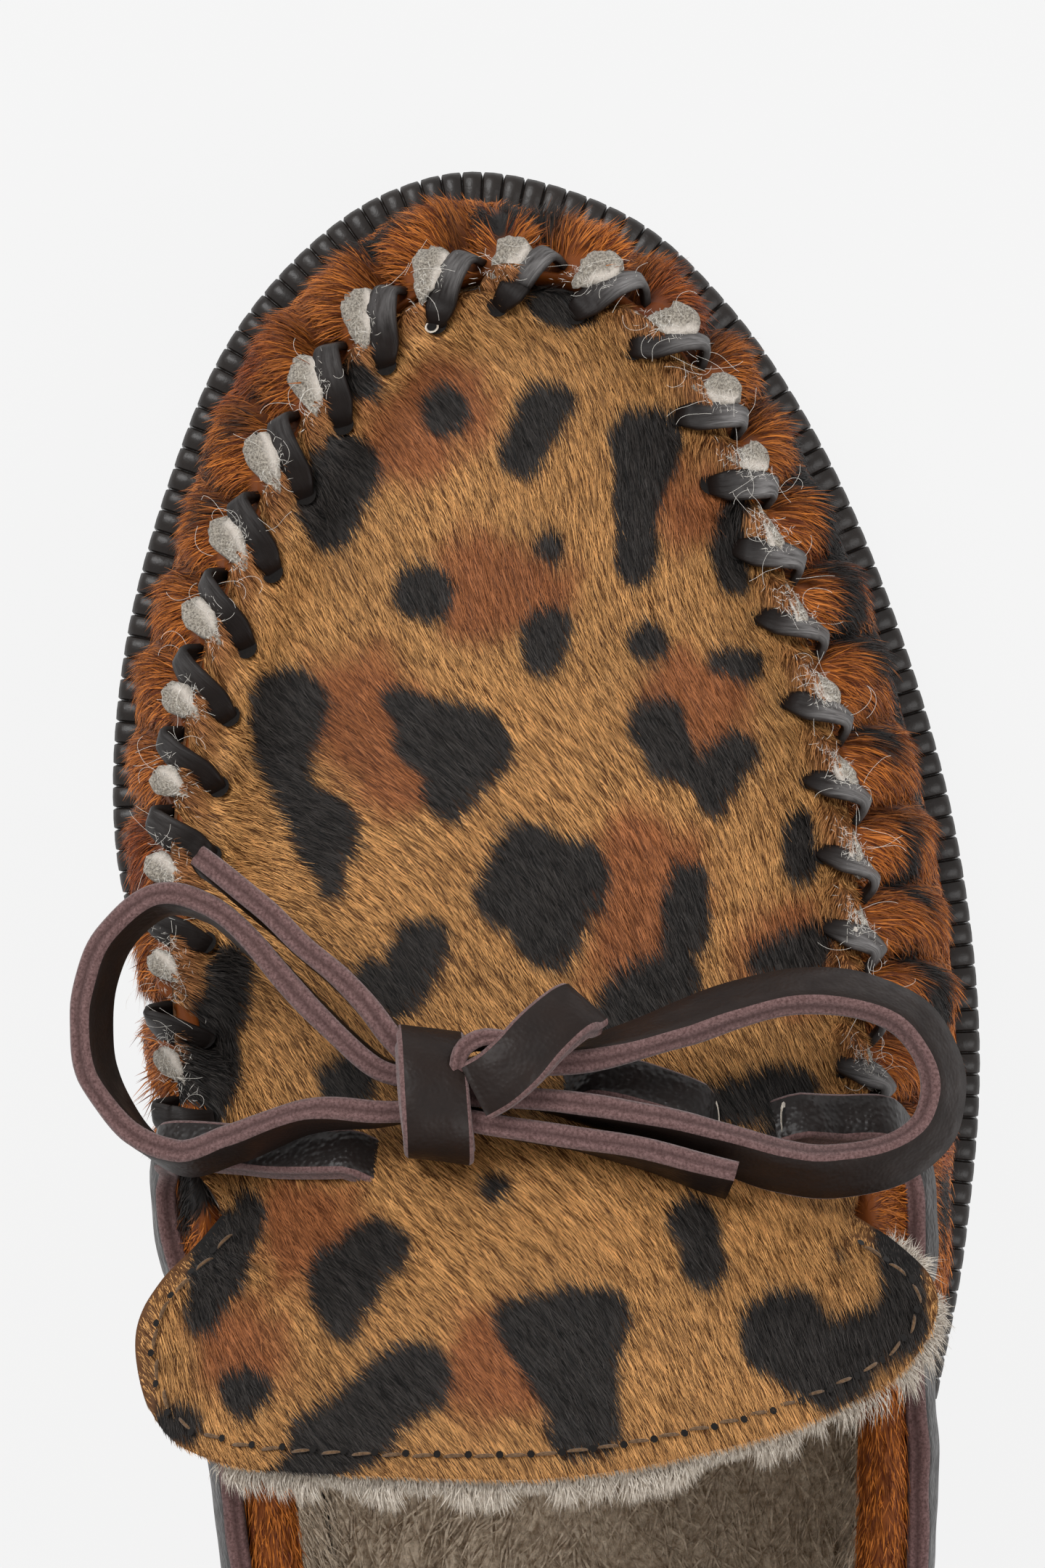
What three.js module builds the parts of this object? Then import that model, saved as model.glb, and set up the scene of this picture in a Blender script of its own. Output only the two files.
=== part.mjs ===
// A right moccasin slipper: ribbed cup sole, wrap upper, laced apron with a flared tongue,
// insole, collar lace and a leather bow.
// Millimetres. +X runs to the toe, +Y to the inner side of the foot, +Z up, and Z = 0 is the floor.
import * as THREE from "three";

// Driving sizes of the whole shoe
const LENGTH = 256; // outsole, heel to toe
const BALL_WIDTH = 100; // outsole, across the ball of the foot
const INSTEP_HEIGHT = 93; // floor to the free end of the tongue, on the centre line
const TOE_SPRING = 5; // the outsole's lift under the toe
const ARCH_LIFT = 2; // the outsole's lift under the arch
const HEEL_THICKNESS = 17; // outsole with its rim, at the heel
const TOE_THICKNESS = 10.5; // outsole with its rim, at the toe

// Outsole
const RIB_COUNT = 212;
const RIB_DEPTH = 0.7; // groove between two ribs
const RIB_CREST_SHARE = 0.7; // of the pitch between two ribs
const TREAD_PLATE = 2.4; // plain edge below the ribs
const TREAD_STEP = 0.8; // how far that plain edge sits inside the ribs
const RIM_THICKNESS = 3; // wall of the cup that holds the upper
const RIM_DRAFT = 1.2; // how far the ribs lean in between the tread and the rim
const CUP_DEPTH = 5; // rim down to the bed
const RIBS_PER_POINT = 2; // ribs between two points of a plain ring

// Leather
const WALL = 2.6; // hair hide with its lining skin
const COLLAR_ROLL = 4.8; // the hide folded over the top line
const ROLL_DEPTH = 9; // how far down the fold reaches
const INSOLE_THICKNESS = 3;
const CLEARANCE = 0.3; // between two pieces that touch

// Laced seam between wrap and apron
const STITCH_COUNT = 25;
const STITCH_WIDTH_SHARE = 0.42; // of the pitch between two stitches
const STITCH_SLANT = 0.74; // slant of a stitch along the seam, in pitches
const STITCH_SIDE = 0.15; // run of a stitch's side, which stands almost upright
const STITCH_REACH_OUT = 3.2; // down the wrap
const STITCH_REACH_IN = 5.2; // over the apron
const STITCH_RISE = 1.3; // thickness of a stitch
const SEAM_RISE = 2.2; // crest of the raw edges above the leather
const SEAM_REACH = 1.9; // half width of the raw edges
const SEAM_FOOT = 0.5; // thickness of seam and stitches at their edges
const SEAM_START = 0.55; // rows of PLAN that the seam keeps from each throat
const UNDER_SEAM = 0.4; // hollow under the middle of the seam, over the wrap's edge

// Flat leather lace
const LACE_WIDTH = 6.6;
const LACE_THICKNESS = 2.4;
const COLLAR_LACE_DROP = 6; // the top line down to the middle of the collar lace
const ROUTE_STEP = 3.4; // length of one straight step of a strip

// The plan of the shoe, row by row from the toe tip round the outer side, the heel and the inner side.
// sole and top are shares of LENGTH from the heel and of BALL_WIDTH from the middle, inner side positive:
// the outline of the outsole, and the top line of the wrap. swell pushes the wall out, as a share of
// BALL_WIDTH.
const PLAN = [
  { soleX: 1.0, soleY: 0.072, topX: 0.951, topY: 0.048, swell: 0.03 },
  { soleX: 0.98, soleY: -0.098, topX: 0.944, topY: -0.064, swell: 0.03 },
  { soleX: 0.941, soleY: -0.211, topX: 0.919, topY: -0.144, swell: 0.035 },
  { soleX: 0.882, soleY: -0.314, topX: 0.871, topY: -0.211, swell: 0.04 },
  { soleX: 0.804, soleY: -0.402, topX: 0.8, topY: -0.277, swell: 0.045 },
  { soleX: 0.706, soleY: -0.474, topX: 0.71, topY: -0.332, swell: 0.045 },
  { soleX: 0.607, soleY: -0.502, topX: 0.625, topY: -0.343, swell: 0.045 },
  { soleX: 0.52, soleY: -0.484, topX: 0.547, topY: -0.354, swell: 0.045 },
  { soleX: 0.422, soleY: -0.436, topX: 0.445, topY: -0.383, swell: 0.04 },
  { soleX: 0.305, soleY: -0.398, topX: 0.32, topY: -0.37, swell: 0.035 },
  { soleX: 0.188, soleY: -0.382, topX: 0.195, topY: -0.335, swell: 0.035 },
  { soleX: 0.09, soleY: -0.335, topX: 0.105, topY: -0.268, swell: 0.03 },
  { soleX: 0.026, soleY: -0.21, topX: 0.052, topY: -0.16, swell: 0.025 },
  { soleX: 0.0, soleY: -0.045, topX: 0.034, topY: -0.045, swell: 0.02 },
  { soleX: 0.026, soleY: 0.12, topX: 0.052, topY: 0.07, swell: 0.025 },
  { soleX: 0.09, soleY: 0.243, topX: 0.105, topY: 0.176, swell: 0.03 },
  { soleX: 0.188, soleY: 0.29, topX: 0.195, topY: 0.245, swell: 0.035 },
  { soleX: 0.305, soleY: 0.302, topX: 0.32, topY: 0.292, swell: 0.05 },
  { soleX: 0.422, soleY: 0.333, topX: 0.445, topY: 0.328, swell: 0.075 },
  { soleX: 0.52, soleY: 0.383, topX: 0.547, topY: 0.38, swell: 0.1 },
  { soleX: 0.607, soleY: 0.44, topX: 0.61, topY: 0.402, swell: 0.08 },
  { soleX: 0.695, soleY: 0.498, topX: 0.695, topY: 0.411, swell: 0.04 },
  { soleX: 0.781, soleY: 0.49, topX: 0.77, topY: 0.388, swell: 0.035 },
  { soleX: 0.861, soleY: 0.437, topX: 0.845, topY: 0.324, swell: 0.035 },
  { soleX: 0.924, soleY: 0.367, topX: 0.897, topY: 0.255, swell: 0.035 },
  { soleX: 0.969, soleY: 0.268, topX: 0.93, topY: 0.186, swell: 0.03 },
  { soleX: 0.992, soleY: 0.176, topX: 0.946, topY: 0.117, swell: 0.03 },
];
const OUTER_THROAT = 7; // rows of PLAN where the seam ends and the collar begins
const INNER_THROAT = 19;

// Heights along the shoe. at is a share of LENGTH from the heel. lift, a share of TOE_SPRING ahead of
// the ball and of ARCH_LIFT behind it, is the outsole's underside; top and crown, shares of
// INSTEP_HEIGHT, are the wrap's top line and the middle of the apron.
const PROFILE = [
  { at: 0.0, lift: 0.3, top: 0.74, crown: 1.0 },
  { at: 0.06, lift: 0.0, top: 0.7, crown: 1.0 },
  { at: 0.13, lift: 0.0, top: 0.645, crown: 1.0 },
  { at: 0.24, lift: 0.0, top: 0.605, crown: 1.0 },
  { at: 0.34, lift: 0.8, top: 0.605, crown: 1.0 },
  { at: 0.44, lift: 1.0, top: 0.635, crown: 1.0 },
  { at: 0.5, lift: 0.7, top: 0.645, crown: 0.925 },
  { at: 0.547, lift: 0.2, top: 0.677, crown: 0.848 },
  { at: 0.6, lift: 0.0, top: 0.605, crown: 0.74 },
  { at: 0.66, lift: 0.0, top: 0.525, crown: 0.627 },
  { at: 0.74, lift: 0.0, top: 0.442, crown: 0.513 },
  { at: 0.82, lift: 0.1, top: 0.383, crown: 0.433 },
  { at: 0.9, lift: 0.45, top: 0.347, crown: 0.376 },
  { at: 0.96, lift: 0.8, top: 0.325, crown: 0.33 },
  { at: 1.0, lift: 1.0, top: 0.315, crown: 0.315 },
];

// The tongue past the throat, from its free end forwards. at as above; inner, outer and span are shares of
// BALL_WIDTH: both edges, and the half width at which its arch comes down to edge, a share of
// INSTEP_HEIGHT.
const TONGUE = [
  { at: 0.4445, inner: 0.315, outer: 0.02, span: 0.42, edge: 0.8 },
  { at: 0.4475, inner: 0.357, outer: -0.06, span: 0.42, edge: 0.8 },
  { at: 0.4525, inner: 0.392, outer: -0.135, span: 0.42, edge: 0.795 },
  { at: 0.462, inner: 0.418, outer: -0.25, span: 0.42, edge: 0.785 },
  { at: 0.48, inner: 0.436, outer: -0.365, span: 0.42, edge: 0.77 },
  { at: 0.5, inner: 0.438, outer: -0.41, span: 0.42, edge: 0.755 },
  { at: 0.518, inner: 0.415, outer: -0.412, span: 0.42, edge: 0.735 },
  { at: 0.534, inner: 0.374, outer: -0.372, span: 0.375, edge: 0.715 },
  { at: 0.545, inner: 0.349, outer: -0.328, span: 0.34, edge: 0.7 },
];
const THROAT = TONGUE[TONGUE.length - 1];
const THROAT_EASE = 0.028; // share of LENGTH over which the tongue's arch runs into the apron's

const UP = new THREE.Vector3(0, 0, 1);

// Smooth value of a named column at a place along a table's at column.
function column(rows, name, at) {
  const last = rows.length - 1;
  const place = THREE.MathUtils.clamp(at, rows[0].at, rows[last].at);
  let i = 0;
  while (i < last - 1 && rows[i + 1].at < place) i++;
  const slope = (k) => {
    const a = rows[Math.max(k - 1, 0)];
    const b = rows[Math.min(k + 1, last)];
    return (b[name] - a[name]) / (b.at - a.at);
  };
  const [a, b] = [rows[i], rows[i + 1]];
  const span = b.at - a.at;
  const t = (place - a.at) / span;
  const ease = t * t * (3 - 2 * t);
  const leave = t * (1 - t) * (1 - t) * span * slope(i);
  const arrive = t * t * (t - 1) * span * slope(i + 1);
  return a[name] + (b[name] - a[name]) * ease + leave + arrive;
}

const share = (x) => x / LENGTH + 0.5;
const fromShare = (at) => (at - 0.5) * LENGTH;

// Underside of the outsole.
function floorZ(x) {
  const at = share(x);
  const scale = at < 0.6 ? ARCH_LIFT : TOE_SPRING;
  return Math.max(0, column(PROFILE, "lift", at)) * scale;
}

// Thickness of the outsole's side, from heel to toe.
function sideThickness(x) {
  const t = THREE.MathUtils.smoothstep(share(x), 0.25, 0.7);
  return THREE.MathUtils.lerp(HEEL_THICKNESS, TOE_THICKNESS, t);
}

const rimZ = (x) => floorZ(x) + sideThickness(x);
const bedZ = (x) => rimZ(x) - CUP_DEPTH;
const topZ = (x) => column(PROFILE, "top", share(x)) * INSTEP_HEIGHT;
const crownZ = (x) => column(PROFILE, "crown", share(x)) * INSTEP_HEIGHT;

function planCurve(xName, yName) {
  const points = PLAN.map((r) => new THREE.Vector3(fromShare(r[xName]), r[yName] * BALL_WIDTH, 0));
  return new THREE.CatmullRomCurve3(points, true, "centripetal");
}
const soleCurve = planCurve("soleX", "soleY");
const topCurve = planCurve("topX", "topY");

// Horizontal direction out of a closed plan curve that runs clockwise from above.
function outward(curve, u) {
  const along = curve.getTangent(THREE.MathUtils.euclideanModulo(u, 1));
  return new THREE.Vector3(-along.y, along.x, 0).normalize();
}

function swellAt(row) {
  const n = PLAN.length;
  const i = Math.floor(row);
  const a = PLAN[THREE.MathUtils.euclideanModulo(i, n)].swell;
  const b = PLAN[THREE.MathUtils.euclideanModulo(i + 1, n)].swell;
  return THREE.MathUtils.lerp(a, b, row - i) * BALL_WIDTH;
}

// Outer face of the wrap. row counts rows of PLAN, with fractions, and v runs from the rim of the sole (0)
// to the top line (1); below 0 it goes down inside the cup.
function wrapPoint(row, v) {
  const u = THREE.MathUtils.euclideanModulo(row / PLAN.length, 1);
  const out = outward(soleCurve, u);
  const foot = soleCurve.getPoint(u).addScaledVector(out, -(RIM_THICKNESS + RIM_DRAFT + CLEARANCE));
  foot.z = rimZ(foot.x) + CLEARANCE;
  if (v < 0) {
    foot.z += v * (CUP_DEPTH - CLEARANCE);
    return foot;
  }
  const top = topCurve.getPoint(u);
  top.z = topZ(top.x);
  const rise = top.z - foot.z;
  const run = Math.hypot(top.x - foot.x, top.y - foot.y);
  const low = foot.clone().addScaledVector(out, swellAt(row)).addScaledVector(UP, 0.42 * rise);
  const high = top.clone().addScaledVector(out, 0.5 * run).addScaledVector(UP, -0.2 * rise);
  return new THREE.CubicBezierCurve3(foot, low, high, top).getPoint(v);
}

// Direction out of the wrap's outer face.
function wrapNormal(row, v) {
  const step = 0.02;
  const along = wrapPoint(row + step, v).sub(wrapPoint(row - step, v));
  const low = Math.max(v, 0) - (v > 0 ? step : 0);
  const climb = wrapPoint(row, low + 2 * step).sub(wrapPoint(row, low));
  return along.cross(climb).negate().normalize();
}

// How thick the wrap is: one wall, and the folded roll along the collar.
function wrapThickness(row, v) {
  const into = Math.min(row - OUTER_THROAT, INNER_THROAT - row);
  const collar = THREE.MathUtils.smoothstep(into, 0.3, 1.1);
  const top = wrapPoint(row, 1);
  const below = top.z - wrapPoint(row, v).z;
  const rolled = 1 - THREE.MathUtils.smoothstep(below, ROLL_DEPTH * 0.45, ROLL_DEPTH);
  return WALL + (COLLAR_ROLL - WALL) * collar * rolled;
}

// The seam's place in the plan, from the inner throat round the toe to the outer throat.
const SEAM_ROWS = PLAN.length - INNER_THROAT + OUTER_THROAT;
const seamRow = (t) => INNER_THROAT + t * SEAM_ROWS;

// Widest points of the apron at a place along the shoe.
const seamEdges = [];
for (let i = 0; i <= 240; i++) {
  const u = THREE.MathUtils.euclideanModulo(seamRow(i / 240) / PLAN.length, 1);
  const p = topCurve.getPoint(u).addScaledVector(outward(topCurve, u), -(WALL + CLEARANCE));
  seamEdges.push(p);
}
const tip = seamEdges.reduce((a, b) => (b.x > a.x ? b : a));

function edgeY(x, inner) {
  const side = inner ? seamEdges.filter((p) => p.y >= tip.y) : seamEdges.filter((p) => p.y < tip.y);
  const sorted = side.slice().sort((a, b) => a.x - b.x);
  const j = sorted.findIndex((p) => p.x > x);
  if (j < 0) return tip.y;
  if (j === 0) return sorted[0].y;
  const [a, b] = [sorted[j - 1], sorted[j]];
  return THREE.MathUtils.lerp(a.y, b.y, (x - a.x) / (b.x - a.x || 1));
}

// Both edges of the apron, and the arch of its upper face: the seam ahead of the throat, and the tongue
// behind it.
function apronEdges(x) {
  const at = share(x);
  const edge = topZ(x);
  if (at > THROAT.at) {
    const inner = edgeY(x, true);
    const outer = edgeY(x, false);
    const blend = THREE.MathUtils.smoothstep(at, THROAT.at, THROAT.at + THROAT_EASE);
    const z = THREE.MathUtils.lerp(THROAT.edge * INSTEP_HEIGHT, edge, blend);
    return { inner, outer, middle: (inner + outer) / 2, half: Math.max((inner - outer) / 2, 1), z };
  }
  return {
    inner: column(TONGUE, "inner", at) * BALL_WIDTH,
    outer: column(TONGUE, "outer", at) * BALL_WIDTH,
    middle: 0,
    half: column(TONGUE, "span", at) * BALL_WIDTH,
    z: column(TONGUE, "edge", at) * INSTEP_HEIGHT,
  };
}

// Upper face of the apron at a place in the plan.
function apronZ(x, y) {
  const { middle, half, z } = apronEdges(x);
  const q = THREE.MathUtils.clamp((y - middle) / half, -1, 1);
  return z + Math.max(0, crownZ(x) - z) * (1 - q * q);
}

function apronPoint(x, y, up = 0) {
  const step = 0.5;
  const point = new THREE.Vector3(x, y, apronZ(x, y));
  if (up === 0) return point;
  const slopeX = (apronZ(x + step, y) - apronZ(x - step, y)) / (2 * step);
  const slopeY = (apronZ(x, y + step) - apronZ(x, y - step)) / (2 * step);
  return point.addScaledVector(new THREE.Vector3(-slopeX, -slopeY, 1).normalize(), up);
}

// Closed rings of points joined into one body.
class Body {
  points = [];
  faces = [];

  ring(points) {
    const first = this.points.length;
    this.points.push(...points);
    return points.map((_, i) => first + i);
  }

  band(a, b) {
    const n = a.length;
    for (let i = 0; i < n; i++) {
      const j = (i + 1) % n;
      this.faces.push([a[i], b[i], b[j]], [a[i], b[j], a[j]]);
    }
  }

  // Between a plain ring and one with several times its points. inwards is true where the plain ring
  // comes second.
  fringe(plain, fine, inwards) {
    const ratio = fine.length / plain.length;
    const half = ratio / 2;
    plain.forEach((a, k) => {
      const next = plain[(k + 1) % plain.length];
      const at = (m) => fine[(k * ratio + m) % fine.length];
      for (let m = 0; m < ratio; m++) this.face(m < half ? a : next, at(m), at(m + 1), inwards);
      this.face(a, at(half), next, inwards);
    });
  }

  face(a, b, c, reversed = false) {
    this.faces.push(reversed ? [a, c, b] : [a, b, c]);
  }

  // Closes a ring by strips across it. last is true on the ring that ends the body.
  lid(ring, last) {
    const n = ring.length;
    const half = Math.floor(n / 2);
    for (let i = 0; i < half; i++) {
      const [a, b, c, d] = [i, i + 1, n - i - 1, (n - i) % n].map((k) => ring[k]);
      if (b !== c) this.face(a, b, c, last);
      if (i > 0) this.face(a, c, d, last);
    }
  }

  mesh(name, finish) {
    const positions = new Float32Array(this.points.flatMap((p) => [p.x, p.y, p.z]));
    const faces = this.volume() < 0 ? this.faces.map(([a, b, c]) => [a, c, b]) : this.faces;
    const geometry = new THREE.BufferGeometry();
    geometry.setAttribute("position", new THREE.BufferAttribute(positions, 3));
    geometry.setIndex(faces.flat());
    return named(name, geometry, finish);
  }

  volume() {
    let sum = 0;
    for (const [a, b, c] of this.faces) {
      sum += this.points[a].dot(this.points[b].clone().cross(this.points[c])) / 6;
    }
    return sum;
  }
}

function named(name, geometry, finish) {
  const material = new THREE.MeshStandardMaterial({ ...finish, metalness: 0 });
  const mesh = new THREE.Mesh(geometry, material);
  mesh.name = name;
  geometry.computeVertexNormals();
  return mesh;
}

// Body swept through closed sections, itself closed round, or with a lid at each end.
function sweep(name, sections, finish, round = false) {
  const body = new Body();
  const rings = sections.map((section) => body.ring(section));
  for (let i = 0; i + 1 < rings.length; i++) body.band(rings[i], rings[i + 1]);
  if (round) {
    body.band(rings[rings.length - 1], rings[0]);
  } else {
    body.lid(rings[0], false);
    body.lid(rings[rings.length - 1], true);
  }
  return body.mesh(name, finish);
}

const RUBBER = { color: "#2c2725", roughness: 0.55 };
const WRAP_HIDE = { color: "#7a4526", roughness: 0.8 };
const APRON_HIDE = { color: "#a57449", roughness: 0.75 };
const THONG = { color: "#3f3634", roughness: 0.45 };
const LACE = { color: "#4d3c3b", roughness: 0.6 };
const FLEECE = { color: "#b3a593", roughness: 0.95 };

// Outsole
function outsole() {
  const plainCount = RIB_COUNT / RIBS_PER_POINT;
  const edge = (s, inset, height) => {
    const u = soleCurve.getUtoTmapping(THREE.MathUtils.euclideanModulo(s, 1));
    const p = soleCurve.getPoint(u).addScaledVector(outward(soleCurve, u), -inset);
    p.z = height(p.x);
    return p;
  };
  const plain = (inset, height) => {
    return Array.from({ length: plainCount }, (_, k) => edge(k / plainCount, inset, height));
  };
  const ribbed = (inset, height) => {
    const groove = (1 + RIB_CREST_SHARE) / 2;
    return Array.from({ length: RIB_COUNT }, (_, k) => [
      edge(k / RIB_COUNT, inset, height),
      edge((k + RIB_CREST_SHARE) / RIB_COUNT, inset, height),
      edge((k + groove) / RIB_COUNT, inset + RIB_DEPTH, height),
    ]).flat();
  };
  const treadTop = (x) => floorZ(x) + TREAD_PLATE;
  const body = new Body();
  const bed = body.ring(plain(RIM_DRAFT + RIM_THICKNESS, bedZ));
  const lip = body.ring(plain(RIM_DRAFT + RIM_THICKNESS, rimZ));
  const ribTop = body.ring(ribbed(RIM_DRAFT, rimZ));
  const ribFoot = body.ring(ribbed(0, treadTop));
  const plateTop = body.ring(plain(TREAD_STEP, treadTop));
  const plateFoot = body.ring(plain(TREAD_STEP, floorZ));
  body.lid(bed, false);
  body.band(bed, lip);
  body.fringe(lip, ribTop, false);
  body.band(ribTop, ribFoot);
  body.fringe(plateTop, ribFoot, true);
  body.band(plateTop, plateFoot);
  body.lid(plateFoot, true);
  return body.mesh("outsole", RUBBER);
}

// Insole, laid on the bed inside the foot of the wrap
function insole() {
  const inset = RIM_DRAFT + RIM_THICKNESS + CLEARANCE + WALL + CLEARANCE;
  const count = 52;
  const outline = (lift) => {
    return Array.from({ length: count }, (_, k) => {
      const u = soleCurve.getUtoTmapping(k / count);
      const p = soleCurve.getPoint(u).addScaledVector(outward(soleCurve, u), -inset);
      p.z = bedZ(p.x) + lift;
      return p;
    });
  };
  return sweep("insole", [outline(CLEARANCE), outline(CLEARANCE + INSOLE_THICKNESS)], FLEECE);
}

// Wrap: vamp and quarters in one hollow shell
const WRAP_STEPS = 4; // sections between two rows of PLAN
const OUTER_FACE = [-1, 0, 0.15, 0.34, 0.54, 0.74, 0.89, 1];
const INNER_FACE = [1, 0.86, 0.66, 0.4, 0.18, 0, -1];

function wrapDepth(row, v, depth) {
  return wrapPoint(row, v).addScaledVector(wrapNormal(row, v), -depth);
}

function upper() {
  const sections = [];
  for (let i = 0; i < PLAN.length * WRAP_STEPS; i++) {
    const row = i / WRAP_STEPS;
    const crest = wrapThickness(row, 1);
    const lift = (crest - WALL) * 0.5;
    const section = OUTER_FACE.map((v) => wrapPoint(row, v));
    section.push(wrapDepth(row, 1, crest / 2).addScaledVector(UP, lift));
    section.push(...INNER_FACE.map((v) => wrapDepth(row, v, wrapThickness(row, v))));
    sections.push(section);
  }
  return sweep("upper", sections, WRAP_HIDE, true);
}

// Apron with its flared tongue
const ACROSS = 9; // points across one face
const APRON_SECTIONS = 22;

function apronTongue() {
  const throatX = fromShare(THROAT.at);
  const places = TONGUE.slice(0, -1).map((r) => fromShare(r.at));
  for (let k = 0; k <= APRON_SECTIONS; k++) {
    const t = Math.sin((k / APRON_SECTIONS) * 0.5 * Math.PI);
    places.push(THREE.MathUtils.lerp(throatX, tip.x - CLEARANCE, t));
  }
  const sections = places.map((x) => {
    const { inner, outer } = apronEdges(x);
    const ys = Array.from({ length: ACROSS }, (_, k) => {
      return THREE.MathUtils.lerp(outer, inner, 0.5 - 0.5 * Math.cos((k / (ACROSS - 1)) * Math.PI));
    });
    const above = ys.map((y) => apronPoint(x, y));
    const below = ys.map((y) => apronPoint(x, y, -WALL)).reverse();
    return [...above, ...below];
  });
  return sweep("apron_tongue", sections, APRON_HIDE);
}

// Whip seam: raw edges under a row of slanted leather stitches, all on the leather's own surface
const seamLine = [];
{
  const first = SEAM_START;
  const last = SEAM_ROWS - SEAM_START;
  const count = 400;
  let length = 0;
  let before = null;
  for (let i = 0; i <= count; i++) {
    const row = INNER_THROAT + THREE.MathUtils.lerp(first, last, i / count);
    const p = wrapPoint(row, 1);
    if (before) length += p.distanceTo(before);
    seamLine.push({ at: length, row });
    before = p;
  }
}
const SEAM_LENGTH = seamLine[seamLine.length - 1].at;

// Point at a distance along the seam, across it (apron side positive), and above the leather.
function seamPoint(along, across, up) {
  const row = column(seamLine, "row", along);
  if (across <= 0) {
    const drop = -across / wrapPoint(row, 0).distanceTo(wrapPoint(row, 1));
    return wrapPoint(row, 1 - drop).addScaledVector(wrapNormal(row, 1 - drop), up);
  }
  const u = THREE.MathUtils.euclideanModulo(row / PLAN.length, 1);
  const p = topCurve.getPoint(u).addScaledVector(outward(topCurve, u), -across);
  p.z = apronZ(p.x, p.y);
  const lean = THREE.MathUtils.smoothstep(across, 0, STITCH_REACH_IN);
  return p.addScaledVector(wrapNormal(row, 1).lerp(UP, lean).normalize(), up);
}

function whipSeam() {
  const pitch = SEAM_LENGTH / STITCH_COUNT;
  const crest = CLEARANCE + SEAM_RISE;
  const bare = {
    above: [
      [-SEAM_REACH, CLEARANCE + SEAM_FOOT],
      [-0.6 * SEAM_REACH, crest],
      [0, crest],
      [0.6 * SEAM_REACH, crest],
      [SEAM_REACH, CLEARANCE + SEAM_FOOT],
    ],
    below: [SEAM_REACH, 0.5 * SEAM_REACH, 0, -0.5 * SEAM_REACH, -SEAM_REACH],
  };
  const laced = {
    above: [
      [-STITCH_REACH_OUT, CLEARANCE + SEAM_FOOT],
      [-0.7 * STITCH_REACH_OUT, crest],
      [0, crest + STITCH_RISE],
      [0.6 * STITCH_REACH_IN, CLEARANCE + STITCH_RISE + SEAM_FOOT],
      [STITCH_REACH_IN, CLEARANCE + SEAM_FOOT],
    ],
    below: [STITCH_REACH_IN, 0.4 * STITCH_REACH_IN, 0, -0.5 * STITCH_REACH_OUT, -STITCH_REACH_OUT],
  };
  const section = (along, profile) => {
    const toEnd = Math.min(along, SEAM_LENGTH - along);
    const slant = STITCH_SLANT * pitch * THREE.MathUtils.smoothstep(toEnd, 0, 1.5 * pitch);
    const place = (across, up) => {
      const shift = (-across / (STITCH_REACH_OUT + STITCH_REACH_IN)) * slant;
      return seamPoint(THREE.MathUtils.clamp(along + shift, 0, SEAM_LENGTH), across, up);
    };
    const above = profile.above.map(([across, up]) => place(across, up));
    const arch = (across) => CLEARANCE + (Math.abs(across) < 0.6 * SEAM_REACH ? UNDER_SEAM : 0);
    return [...above, ...profile.below.map((across) => place(across, arch(across)))];
  };
  const sections = [];
  const margin = 0.25 * pitch;
  sections.push(section(margin, bare));
  for (let k = 0; k < STITCH_COUNT; k++) {
    const start = (k + 0.5 - STITCH_WIDTH_SHARE / 2) * pitch;
    const end = start + STITCH_WIDTH_SHARE * pitch;
    if (start - STITCH_SIDE > margin) sections.push(section(start - STITCH_SIDE, bare));
    sections.push(section(start, laced), section(end, laced));
    if (end + STITCH_SIDE < SEAM_LENGTH - margin) sections.push(section(end + STITCH_SIDE, bare));
  }
  sections.push(section(SEAM_LENGTH - margin, bare));
  return sweep("whip_seam", sections, THONG);
}

// Flat strip through frames of a centre, a direction across its width and one through its thickness
function strip(name, frames, width = LACE_WIDTH) {
  const corners = [[-1, -1], [1, -1], [1, 1], [-1, 1]];
  const sections = frames.map(({ centre, across, through }) => {
    return corners.map(([a, b]) => {
      const p = centre.clone().addScaledVector(across, (a * width) / 2);
      return p.addScaledVector(through, (b * LACE_THICKNESS) / 2);
    });
  });
  return sweep(name, sections, LACE);
}

// Collar lace: stretches outside the quarters between slots, in rows of PLAN
const COLLAR_RUNS = [
  { from: 18.5, to: 16.6 },
  { from: 16.3, to: 14.4 },
  { from: 14.1, to: 11.9 },
  { from: 11.6, to: 9.7 },
  { from: 9.4, to: 7.5 },
];

function collarLace({ from, to }, index) {
  const steps = 10;
  const frames = [];
  for (let i = 0; i <= steps; i++) {
    const row = THREE.MathUtils.lerp(from, to, i / steps);
    const height = wrapPoint(row, 0).distanceTo(wrapPoint(row, 1));
    const v = 1 - COLLAR_LACE_DROP / height;
    const through = wrapNormal(row, v);
    const across = wrapPoint(row, v + 0.02).sub(wrapPoint(row, v - 0.02)).normalize();
    const centre = wrapPoint(row, v).addScaledVector(through, CLEARANCE + LACE_THICKNESS / 2);
    frames.push({ centre, across, through });
  }
  return strip(`collar_lace_${index + 1}`, frames);
}

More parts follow.
